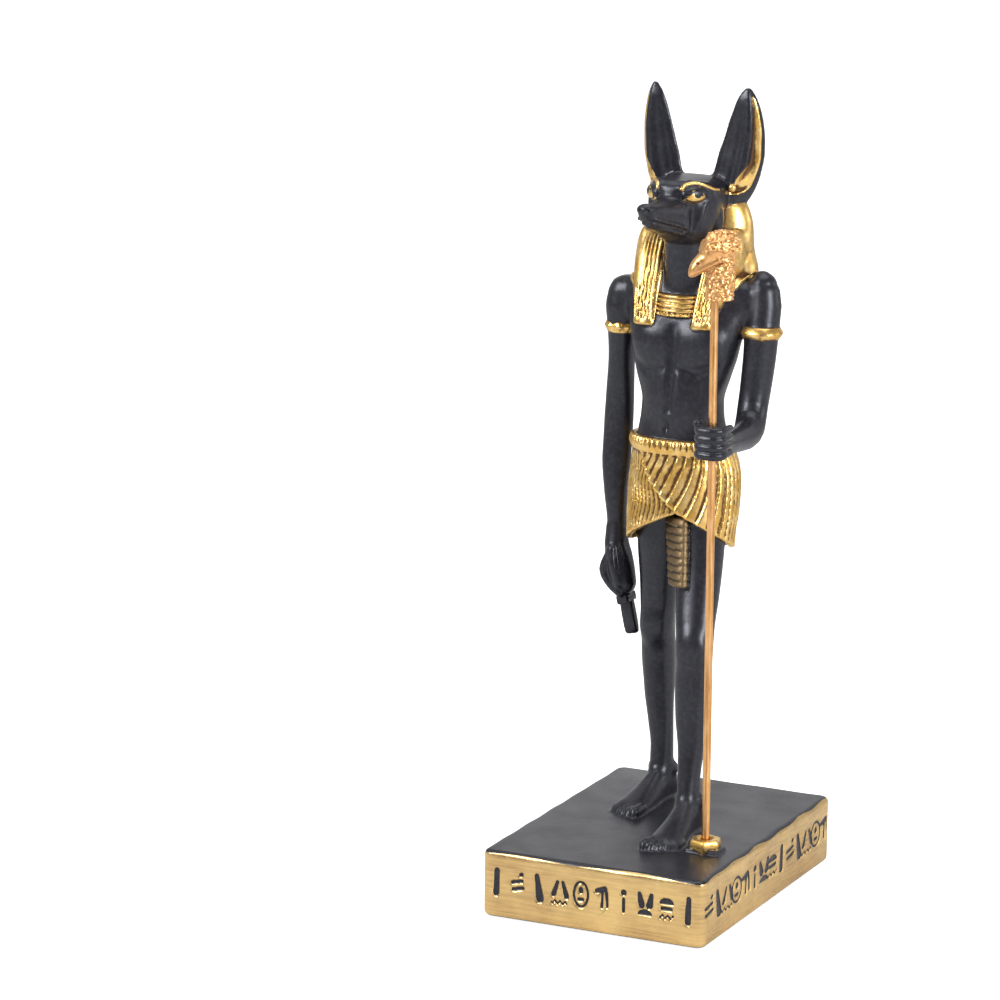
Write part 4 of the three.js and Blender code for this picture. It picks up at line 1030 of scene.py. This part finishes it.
def corners_of(mesh):
    """A mesh's corners."""
    points = np.empty(len(mesh.vertices) * 3, np.float32)
    mesh.vertices.foreach_get("co", points)
    return points.reshape(-1, 3)


DEEP_GROOVE = 0.25       # the depth that counts as a full groove


def hollowness(mesh, points, spread=6):
    """How deep each corner lies in a groove, from -1 on a crest to 1."""
    ends = np.empty(len(mesh.edges) * 2, np.int32)
    mesh.edges.foreach_get("vertices", ends)
    a, b = ends.reshape(-1, 2).T
    normals = np.empty(len(points) * 3, np.float32)
    mesh.vertices.foreach_get("normal", normals)
    normals = normals.reshape(-1, 3)
    ties = np.bincount(a, minlength=len(points)) + np.bincount(b, minlength=len(points))

    def around(values):
        total = np.zeros(len(points))
        np.add.at(total, a, values[b])
        np.add.at(total, b, values[a])
        return total / np.maximum(ties, 1)

    middle = points.copy()
    for _ in range(spread):
        middle = np.stack([around(middle[:, axis]) for axis in range(3)], axis=1)
    depth = np.sum((middle - points) * normals, axis=1)
    return np.clip(depth / DEEP_GROOVE, -1, 1)


def attach(mesh, name, values):
    """Keeps a value for each corner, from -1 to 1, for the finish to read."""
    layer = mesh.attributes.new(name, "FLOAT", "POINT")
    layer.data.foreach_set("value", np.clip(values, -1, 1).astype(np.float32))


def settled(mesh, points):
    """Puts a mesh's corners where they belong on the whole object, in metres."""
    mesh.vertices.foreach_set("co", (points * MM).astype(np.float32).ravel())
    mesh.update()


def placed(name, mesh, material, node):
    """A finished piece in place of its CAD node."""
    piece = bpy.data.objects.new(name, mesh)
    bpy.context.scene.collection.objects.link(piece)
    mesh.materials.append(material)
    mesh.shade_smooth()
    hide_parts(node)
    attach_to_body(piece, "root")
    return piece


# Finishes


class Nodes:
    """A tree of shader nodes, written as short sums."""

    def __init__(self, tree):
        self.tree = tree

    def put(self, node, index, value):
        """Sets an input, or links it where the value is another node's output."""
        if isinstance(value, bpy.types.NodeSocket):
            self.tree.links.new(value, node.inputs[index])
        else:
            node.inputs[index].default_value = value

    def node(self, kind, inputs, **settings):
        """A new node with its inputs set by name or by place, and its settings."""
        made = self.tree.nodes.new(kind)
        for key, value in settings.items():
            setattr(made, key, value)
        for index, value in inputs.items():
            self.put(made, index, value)
        return made

    def attribute(self, name):
        return self.node("ShaderNodeAttribute", {}, attribute_name=name).outputs["Fac"]

    def maths(self, operation, *values):
        return self.node("ShaderNodeMath", dict(enumerate(values)), operation=operation).outputs[0]

    def ramp(self, value, low, high, to_low=0.0, to_high=1.0, interpolation="LINEAR"):
        """A value brought from one range to another, and held within it."""
        inputs = dict(enumerate((value, low, high, to_low, to_high)))
        return self.node("ShaderNodeMapRange", inputs, interpolation_type=interpolation).outputs[0]

    def mixed(self, share, a, b):
        return self.node("ShaderNodeMix", {0: share, 6: a, 7: b}, data_type="RGBA").outputs[2]


class Effect(Nodes):
    """A node group that several finishes use. given holds its inputs inside the group."""

    def __init__(self, name, inputs, output, output_socket):
        super().__init__(bpy.data.node_groups.new(name, "ShaderNodeTree"))
        for label, socket in inputs.items():
            self.tree.interface.new_socket(label, in_out="INPUT", socket_type=socket)
        self.tree.interface.new_socket(output, in_out="OUTPUT", socket_type=output_socket)
        self.given = self.tree.nodes.new("NodeGroupInput").outputs

    def give(self, value):
        """Ends the group with the value that it puts out."""
        self.node("NodeGroupOutput", {0: value})
        return self.tree


def casting_grain():
    """Fine unevenness fixed to the piece: grain, clouds or brush marks by its scale and stretch."""
    effect = Effect("casting grain", {"Stretch": "NodeSocketVector", "Scale": "NodeSocketFloat",
                                      "Detail": "NodeSocketFloat", "Roughness": "NodeSocketFloat"},
                    "Grain", "NodeSocketFloat")
    given = effect.given
    coordinates = effect.node("ShaderNodeTexCoord", {}).outputs["Object"]
    place = effect.node("ShaderNodeMapping", {"Vector": coordinates, "Scale": given["Stretch"]}).outputs[0]
    noise = effect.node("ShaderNodeTexNoise", {"Vector": place, "Scale": given["Scale"],
                                               "Detail": given["Detail"], "Roughness": given["Roughness"]})
    return effect.give(noise.outputs["Fac"])


def darkened_gilding():
    """Metal paint in two tones, darkened where a second share says: painted shade in the grooves of the
    figure and the staff's head, darker streaks on the rod.
    """
    effect = Effect("darkened gilding", {"Pattern": "NodeSocketFloat", "Tone": "NodeSocketColor",
                                     "Pale Tone": "NodeSocketColor", "Wash": "NodeSocketFloat",
                                     "Wash Tone": "NodeSocketColor"}, "Colour", "NodeSocketColor")
    given = effect.given
    paint = effect.mixed(given["Pattern"], given["Tone"], given["Pale Tone"])
    return effect.give(effect.mixed(given["Wash"], paint, given["Wash Tone"]))


class Finish(Nodes):
    """A material's nodes round its shader."""

    def __init__(self, name):
        self.material = bpy.data.materials.new(name)
        self.material.use_nodes = True
        super().__init__(self.material.node_tree)
        self.shader = self.tree.nodes["Principled BSDF"]

    def effect(self, group, **values):
        """A shared effect with this finish's own values."""
        inputs = {key.replace("_", " "): value for key, value in values.items()}
        return self.node("ShaderNodeGroup", inputs, node_tree=group).outputs[0]

    def grain(self, scale, detail, roughness, stretch=(1, 1, 1)):
        return self.effect(GRAIN, Stretch=stretch, Scale=scale, Detail=detail, Roughness=roughness)

    def gilding(self, pattern, tone, pale, darkening, darkening_tone):
        return self.effect(GILDING, Pattern=pattern, Tone=tone, Pale_Tone=pale,
                           Wash=darkening, Wash_Tone=darkening_tone)

    def bump(self, height, distance, strength):
        inputs = {"Strength": strength, "Distance": distance, "Height": height}
        return self.node("ShaderNodeBump", inputs).outputs[0]

    def set(self, **values):
        """Sets or links the shader's own sockets."""
        for key, value in values.items():
            self.put(self.shader, key.replace("_", " "), value)


GRAIN = casting_grain()
GILDING = darkened_gilding()
WHITE = (1, 1, 1, 1)
BLACK = (0.009, 0.009, 0.0128, 1)
BLACK_WORN = (0.024, 0.024, 0.03, 1)
BLACK_SHEEN = (0.88, 0.9, 1, 1)
GOLD = (0.68, 0.4, 0.1, 1)
GOLD_PALE = (0.92, 0.66, 0.28, 1)
# painted shade: the gold's tone deep in its grooves
GOLD_GROOVE_SHADE = (0.1, 0.045, 0.012, 1)
PLINTH_GOLD = (0.66, 0.44, 0.19, 1)
PLINTH_GOLD_WORN = (0.28, 0.18, 0.085, 1)
BRONZE = (0.2, 0.14, 0.075, 1)
# painted shade: the tab's tone between its ribs
BRONZE_GROOVE_SHADE = (0.03, 0.022, 0.015, 1)
COPPER = (0.72, 0.36, 0.12, 1)
COPPER_PALE = (0.88, 0.52, 0.24, 1)
# darker copper: real streaks on the rod, painted shade between the head's curls
COPPER_STREAK_AND_SHADE = (0.2, 0.07, 0.02, 1)


def painted_resin():
    """Satin black with antique gold, brushed gold on the plinth's sides and a bronze tab; the gold and the
    tab carry painted shade, darker in their grooves.
    """
    finish = Finish("painted resin")
    hollow = finish.attribute("hollowness")
    grain = finish.grain(900, 4, 0.6)
    cloud = finish.grain(90, 3, 0.5)
    ragged = finish.maths("ADD", finish.attribute("gilding"), finish.ramp(cloud, 0.3, 0.7, -0.08, 0.08))
    is_gold = finish.ramp(ragged, -0.03, 0.03)
    is_side = finish.ramp(finish.attribute("plinth_side"), -0.05, 0.05)
    is_bronze = finish.ramp(finish.attribute("bronze"), -0.05, 0.05)
    is_metal = finish.maths("MAXIMUM", is_gold, finish.maths("MAXIMUM", is_side, is_bronze))

    black = finish.mixed(finish.ramp(grain, 0.45, 0.75), BLACK, BLACK_WORN)
    patch = finish.ramp(finish.grain(260, 5, 0.65), 0.4, 0.68)
    # painted shade: the gold is darker and less metallic the deeper it lies in a groove, with a fine speckle
    speckled_groove_shade = finish.maths("ADD", hollow, finish.ramp(grain, 0.3, 0.7, -0.15, 0.15))
    darkening = finish.ramp(speckled_groove_shade, 0.02, 0.4)
    gold = finish.gilding(patch, GOLD, GOLD_PALE, darkening, GOLD_GROOVE_SHADE)
    brushed = finish.ramp(finish.grain(420, 4, 0.6, (0.25, 0.25, 5)), 0.42, 0.72, 0, 0.65)
    side_gold = finish.mixed(brushed, PLINTH_GOLD, PLINTH_GOLD_WORN)
    side_gold = finish.mixed(finish.ramp(cloud, 0.35, 0.7, 0, 0.6), side_gold, GOLD_PALE)
    # painted shade: the tab is darker between its ribs
    bronze = finish.mixed(finish.ramp(hollow, -0.2, 0.35), BRONZE, BRONZE_GROOVE_SHADE)
    colour = finish.mixed(is_gold, black, gold)
    colour = finish.mixed(is_bronze, colour, bronze)
    colour = finish.mixed(is_side, colour, side_gold)

    rough_black = finish.maths("MULTIPLY", finish.ramp(cloud, 0.3, 0.7, 0.3, 0.4),
                               finish.maths("SUBTRACT", 1, is_metal))
    rough_gold = finish.maths("MULTIPLY", finish.ramp(grain, 0.3, 0.7, 0.25, 0.4), is_metal)
    roughness = finish.maths("MULTIPLY_ADD", is_bronze, 0.18, finish.maths("ADD", rough_black, rough_gold))
    height = finish.maths("ADD", grain, finish.maths("MULTIPLY", cloud, 0.6))
    finish.set(
        Base_Color=colour,
        Metallic=finish.maths("MULTIPLY", is_metal, finish.ramp(darkening, 0, 1, 0.92, 0.5)),
        Roughness=roughness,
        Specular_Tint=finish.mixed(is_metal, BLACK_SHEEN, WHITE),
        Normal=finish.bump(height, 0.00006, 0.5),
    )
    return finish.material


def copper_rod():
    """A drawn copper-coloured rod with darker streaks along it."""
    finish = Finish("copper rod")
    grain = finish.grain(700, 3, 0.6, (1, 1, 0.3))
    streaks = finish.ramp(finish.grain(2200, 2, 0.5, (1, 1, 0.02)), 0.45, 0.7, 0, 0.6)
    finish.set(
        Base_Color=finish.gilding(finish.ramp(grain, 0.35, 0.7), COPPER, COPPER_PALE, streaks, COPPER_STREAK_AND_SHADE),
        Metallic=0.95,
        Roughness=finish.ramp(grain, 0.3, 0.7, 0.28, 0.42),
        Normal=finish.bump(grain, 0.00005, 0.5),
    )
    return finish.material


def gilt_head():
    """The rough copper-gold of the staff's head, with painted shade between its curls."""
    finish = Finish("gilt head")
    grain = finish.grain(800, 4, 0.6)
    # painted shade: darker and less metallic deep in the grooves between the curls
    darkening = finish.ramp(finish.attribute("hollowness"), -0.05, 0.5)
    finish.set(
        Base_Color=finish.gilding(finish.ramp(grain, 0.35, 0.7), COPPER, COPPER_PALE, darkening, COPPER_STREAK_AND_SHADE),
        Metallic=finish.ramp(darkening, 0, 1, 0.9, 0.5),
        Roughness=finish.ramp(grain, 0.3, 0.7, 0.28, 0.45),
        Normal=finish.bump(grain, 0.00008, 0.6),
    )
    return finish.material


# Making the pieces


FIGURE_LOW = np.array([-27, -61.5, -18.5])
FIGURE_HIGH = np.array([36, 25.5, 188])
JOIN = 0.12              # fillet between the black, the gold and the tab
SOCKET_ENDS = (13, 21.5)
# On the figure's own axis: where the ears' and the eyes' gold is looked for, and the plinth sides' paint
EAR_GOLD_LOW = 159
EYE_GOLD_LOW, EYE_GOLD_HIGH = 157, 166
SIDE_GOLD_LOW, SIDE_GOLD_HIGH = -17.1, -0.5
SIDE_GOLD_DEPTH = 0.3


def figure_holes():
    """The holes for the staff, in the plinth's pad and through the fist."""
    holes = []
    fist_ends = (FIST_PLACE.z - FIST_REACH - 2, FIST_PLACE.z + FIST_REACH + 2)
    for ends, play in ((SOCKET_ENDS, SOCKET_PLAY), (fist_ends, ROD_GAP)):
        line = [(*(on_staff(height) - Vector(FIGURE)), ROD_RADIUS + play) for height in ends]
        holes.append((limb(line), 0, "cut"))
    return holes


def figure_fields():
    """A function that gives, for any places, how far they lie outside the black, the gold and the tab."""
    body = [*body_pieces(), *foot_pieces(RIGHT_ANKLE, 1), *foot_pieces(LEFT_ANKLE, -1), *right_hand(),
            (ankh_piece(), 0.1), *left_fist(), *head_pieces(), *mouth_cuts(),
            (ear_piece(-1), 1.2), (ear_piece(1), 1.2)]
    gilded = [*gilded_pieces(), *brow_pieces(), (ear_bead(-1), 0.2), (ear_bead(1), 0.2)]
    ground = [(plinth_piece(), 0), (pad_piece(), 0.4), *[(piece, 0.1, "cut") for piece in mark_cuts()]]

    def fields(places):
        black = blended(carve(places, body), carve(places, ground), 1.2)
        gold = carve(places, gilded)
        index, *near = places.near(*DRAPE_BOX)
        gold[index] = blended(gold[index], drape_gap(*near, black[index]), 0.6)
        return black, gold, carve(places, [(tab_piece(), 0)])

    return fields


def paint_masks(points, black, gold, tab):
    """Where the gold, the bronze and the plinth's sides are, above zero inside each."""
    x, y, z = points.T
    hollows = np.where(z > EAR_GOLD_LOW, -hollow_gap(x, y, z), -1)
    by_the_eyes = (z > EYE_GOLD_LOW) & (z < EYE_GOLD_HIGH) & (y < 0)
    eyes = np.where(by_the_eyes, eye_gilding(x, y, z), -1)
    worn = 0.2 * np.sin(x * 0.21 + 1.7 * np.sin(y * 0.13)) + 0.12 * np.sin(y * 0.43 + 2 * np.sin(x * 0.1))
    side = np.minimum(SIDE_GOLD_HIGH - z + worn, z - SIDE_GOLD_LOW)
    return {
        "gilding": np.maximum(black - gold, np.maximum(hollows, eyes)),
        "bronze": np.minimum(gold, black) - tab,
        "plinth_side": np.minimum(side, (plinth_piece()[2](x, y, z) + SIDE_GOLD_DEPTH) * 3),
    }


def build_figure():
    """The figure on its plinth, one skin with its paint told apart by masks."""
    fields = figure_fields()
    lattice = Lattice(FIGURE_LOW, FIGURE_HIGH, CELL)
    black, gold, tab = fields(lattice)
    whole = carve(lattice, figure_holes(), blended(blended(black, gold, JOIN), tab, JOIN))
    mesh = thinned(mesh_of("figure", *skin_of(whole, FIGURE_LOW, CELL)), FACE_LIMIT)
    points = corners_of(mesh)
    for name, mask in paint_masks(points, *fields(Scatter(points))).items():
        attach(mesh, name, mask)
    attach(mesh, "hollowness", hollowness(mesh, points))
    settled(mesh, points + np.array(FIGURE))
    return placed("figure", mesh, painted_resin(), "figure_on_plinth")


def build_rod():
    """The rod, a tube of many rings from the socket into the staff's head."""
    low = PLINTH[2] + 1 + SOCKET_HEIGHT - SOCKET_DEPTH + ROD_GAP
    high = FIST_PLACE.z + ROD_ABOVE_FIST + HEAD_BORE - 2 * ROD_GAP
    sides, steps = 40, 60
    points = []
    for step in range(steps + 1):
        centre = on_staff(low + (high - low) * step / steps)
        for side in range(sides):
            angle = FULL_TURN * side / sides
            around = STAFF_TURN @ Vector((math.cos(angle), math.sin(angle), 0)) * ROD_RADIUS
            points.append(tuple((centre + around) * MM))
    faces = []
    for row in range(steps):
        for side in range(sides):
            here, after = row * sides + side, row * sides + (side + 1) % sides
            faces.append((here, after, after + sides, here + sides))
    faces += [tuple(reversed(range(sides))), tuple(range(steps * sides, (steps + 1) * sides))]
    mesh = bpy.data.meshes.new("rod")
    mesh.from_pydata(points, [], faces)
    return placed("rod", mesh, copper_rod(), "staff_rod")


# The staff's head, drawn with its foot at zero and its beak towards -Y, then turned about the staff
HEAD_TURN = math.radians(-50)
HEAD_NECK = [(0, 0, 1.2, 3.2, 3.4), (5, 0, 1.5, 3.1, 3.5), (12.5, 0, 1.2, 3, 4)]
HEAD_SKULL = [
    (-5.6, 0, 13.2, 1.6, 1.6), (-4.6, 0, 13.2, 2.7, 2.7), (-1.5, 0, 13.2, 3.5, 3.5),
    (1.5, 0, 12.4, 3.2, 3.4), (3.6, 0, 11.2, 2.4, 2.6),
]
HEAD_BEAK = [
    (0.5, 0, 10.6, 2.8, 3), (3, 0, 9.8, 2.4, 2.8), (5, 0, 8.5, 1.8, 2.4), (6.3, 0, 7.4, 1.2, 1.6),
    (6.9, 0, 6.8, 0.6, 0.9),
]
HEAD_CREST = [(0, -1, 15.2, 1.5), (0, 1.5, 15.8, 1.4), (0, 4.2, 15.4, 1.2), (0, 6, 14.6, 0.6)]
HEAD_EYE = (2.9, -1.2, 13.4)
HEAD_BROW = [(1.4, -3.5, 12.4, 0.35), (2.5, -2.3, 14.4, 0.4), (3.1, -0.2, 14.9, 0.4)]
HEAD_SLIT = [(3.1, 1.6, 9.9, 0.2), (2.7, -1, 8.6, 0.3), (1.8, -4.2, 7, 0.3), (0.6, -6.5, 5.9, 0.25)]
HEAD_LIP = [(3, 1, 10.6, 0.3), (2.6, -1.4, 9.4, 0.45), (1.7, -4.4, 7.8, 0.4), (0.6, -6.4, 6.7, 0.3)]
HEAD_LOW = np.array([-5.2, -8.4, -0.8])
HEAD_HIGH = np.array([5.2, 8.0, 18.6])


def feathers(angle, z):
    """Small ruffled feathers down the neck."""
    drift = 0.9 * np.sin(z * 1.7 + 2 * np.cos(angle * 3)) + 0.6 * np.sin(z * 3.9 + angle)
    rows = (1 - np.mod(z * 0.75 + 0.35 * np.sin(angle * 5 + z), 1)) ** 0.6
    return 0.5 * (np.abs(np.sin(angle * 6.5 + drift)) * rows) - 0.2


CROWN_HEIGHT = 13
CURL_RADIUS = 0.65
CURL_TRIES = 90
CROWN_REACH = np.linspace(0, 6, 121)


def curls(random):
    """Small curls over the crown and the nape."""
    form = [(stack(HEAD_SKULL, "forward"), 0.6), (limb(HEAD_CREST), 0.8)]
    pieces = []
    for _ in range(CURL_TRIES):
        angle, back = random.uniform(-1.7, 1.7), random.uniform(-1.3, 6)
        side, up = math.sin(angle), math.cos(angle)
        line = np.stack([side * CROWN_REACH, np.full(CROWN_REACH.shape, back),
                         CROWN_HEIGHT + up * CROWN_REACH], axis=1)
        outside = np.flatnonzero(carve(Scatter(line.astype(np.float32)), form) > 0)
        far = CROWN_REACH[outside[0]] if len(outside) else 0
        if far < 1:
            continue
        turn = random.uniform(0, FULL_TURN)
        path = []
        for step in range(5):
            swing = turn + step * 1.1
            out, along_nape = CURL_RADIUS * math.cos(swing), CURL_RADIUS * math.sin(swing)
            path.append((side * far + out * up, back + along_nape, CROWN_HEIGHT + up * far - out * side,
                         0.33 - 0.04 * step))
        pieces.append((limb(path, 1), 0.06))
    return pieces


def staff_face(side):
    """The brow, the eye, the nostril, the slit of the beak and the lip over it, on one side."""
    x, y, z = HEAD_EYE
    brow, slit, lip = (limb([(side * out, *rest) for out, *rest in rows])
                       for rows in (HEAD_BROW, HEAD_SLIT, HEAD_LIP))
    return [
        (brow, 0.3),
        (ball((side * x, y - 0.3, z), (0.9, 1.3, 1)), 0.1),
        (ball((side * (x + 0.8), y - 0.7, z), (0.35, 0.5, 0.4)), 0.1, "cut"),
        (ball((side * 1.75, -4.9, 9.4), (0.55, 0.5, 0.4)), 0.1, "cut"),
        (slit, 0.1, "cut"),
        (lip, 0.2),
    ]


def build_staff_head():
    """The animal's head on the rod, carved upright and then turned onto the staff."""
    bore = limb([(0, 0, height, ROD_RADIUS + ROD_GAP) for height in (-2, HEAD_BORE)])
    pieces = [
        (stack(HEAD_NECK, ends=0.4, relief=feathers), 0.2),
        (stack(HEAD_SKULL, "forward"), 0.6),
        (stack(HEAD_BEAK, "forward"), 0.6),
        (limb(HEAD_CREST), 0.8),
        *curls(np.random.default_rng(5)),
        *staff_face(-1),
        *staff_face(1),
        (bore, 0, "cut"),
    ]
    field = carve(Lattice(HEAD_LOW, HEAD_HIGH, HEAD_CELL), pieces)
    mesh = thinned(mesh_of("staff head", *skin_of(field, HEAD_LOW, HEAD_CELL)), HEAD_FACE_LIMIT)
    points = corners_of(mesh)
    attach(mesh, "hollowness", hollowness(mesh, points))
    turn = STAFF_TURN.to_matrix() @ Matrix.Rotation(HEAD_TURN, 3, "Z")
    settled(mesh, points @ np.array(turn).T + np.array(on_staff(FIST_PLACE.z + ROD_ABOVE_FIST)))
    return placed("staff_head_gilt", mesh, gilt_head(), "staff_head")


# The studio, in metres

FLOOR_HALF = 4.0
FLOOR_DROP = 0.0002      # keeps the floor off the plinth's underside
FLOOR_GLOW = 0.85        # seen by the camera alone
PAPER = (0.7, 0.7, 0.7, 1)
CAMERA_SIDE = (0.39, -0.9, 0.15)
# How bright the sky is by how far it lies on the camera's side: the side's range, then the light at its ends
SKY_ROUND = (-0.5, 0.6, 0.5, 0.13)
SKY_BEHIND = (-0.92, -0.65, 0.5, 0.0)
# (name, place, what it points at, size, power)
LAMPS = (
    ("key", (-0.65, -0.8, 0.75), (0, 0, 0.11), 0.4, 11.5),
    ("side", (0.9, -0.35, 0.45), (0, 0, 0.1), 0.3, 8),
    ("top", (0, 0.1, 1.3), (0, 0, 0), 1.0, 8),
    ("rim", (0.85, 0.55, 0.35), (0, 0, 0.11), 0.35, 0.9),
)
CAMERA_PLACE = Vector((451.709, -1044.156, 365.843)) * MM
CAMERA_AIM = Vector((-46.549, 0, 97.423)) * MM
CAMERA_LENS = 165.857
CAMERA_ROLL = 0.00991


def facing(place, aim):
    """The turn that points a lamp or the camera from its place at its aim."""
    return (Vector(aim) - Vector(place)).to_track_quat("-Z", "Y")


def floor():
    """A plain pale floor."""
    mesh = bpy.data.meshes.new("floor")
    corners = [(x * FLOOR_HALF, y * FLOOR_HALF, 0) for x, y in ((-1, -1), (1, -1), (1, 1), (-1, 1))]
    mesh.from_pydata(corners, [], [(0, 1, 2, 3)])
    sheet = bpy.data.objects.new("floor", mesh)
    sheet.location.z = -FLOOR_DROP
    bpy.context.scene.collection.objects.link(sheet)
    paper = Finish("floor paper")
    seen = paper.node("ShaderNodeLightPath", {}).outputs["Is Camera Ray"]
    paper.set(Base_Color=PAPER, Roughness=0.9, Emission_Color=WHITE,
              Emission_Strength=paper.maths("MULTIPLY", seen, FLOOR_GLOW))
    mesh.materials.append(paper.material)


def sky():
    """Soft light all round, dimmer from the camera's side."""
    world = bpy.data.worlds.new("studio")
    bpy.context.scene.world = world
    world.use_nodes = True
    nodes = Nodes(world.node_tree)
    direction = nodes.node("ShaderNodeTexCoord", {}).outputs["Generated"]
    towards = nodes.node("ShaderNodeVectorMath", {0: direction, 1: CAMERA_SIDE}, operation="DOT_PRODUCT")
    light = [nodes.ramp(towards.outputs["Value"], *rows, interpolation="SMOOTHSTEP")
             for rows in (SKY_ROUND, SKY_BEHIND)]
    background = world.node_tree.nodes["Background"]
    nodes.put(background, "Color", WHITE)
    nodes.put(background, "Strength", nodes.maths("ADD", *light))


def lamps():
    """Four soft square lamps."""
    for name, place, aim, size, power in LAMPS:
        lamp = bpy.data.lights.new(name, "AREA")
        lamp.size = size
        lamp.energy = power
        light = bpy.data.objects.new(name, lamp)
        light.location = place
        light.rotation_euler = facing(place, aim).to_euler()
        bpy.context.scene.collection.objects.link(light)


def camera():
    """The camera at the photograph's viewing angle."""
    lens = bpy.data.cameras.new("camera")
    lens.lens = CAMERA_LENS
    lens.clip_end = 20
    made = bpy.data.objects.new("camera", lens)
    made.location = CAMERA_PLACE
    look = facing(CAMERA_PLACE, CAMERA_AIM).to_matrix()
    made.rotation_euler = (look @ Matrix.Rotation(CAMERA_ROLL, 3, "Z")).to_euler()
    bpy.context.scene.collection.objects.link(made)
    bpy.context.scene.camera = made


build_figure()
build_rod()
build_staff_head()
floor()
sky()
lamps()
bpy.context.scene.view_settings.view_transform = "Standard"
camera()
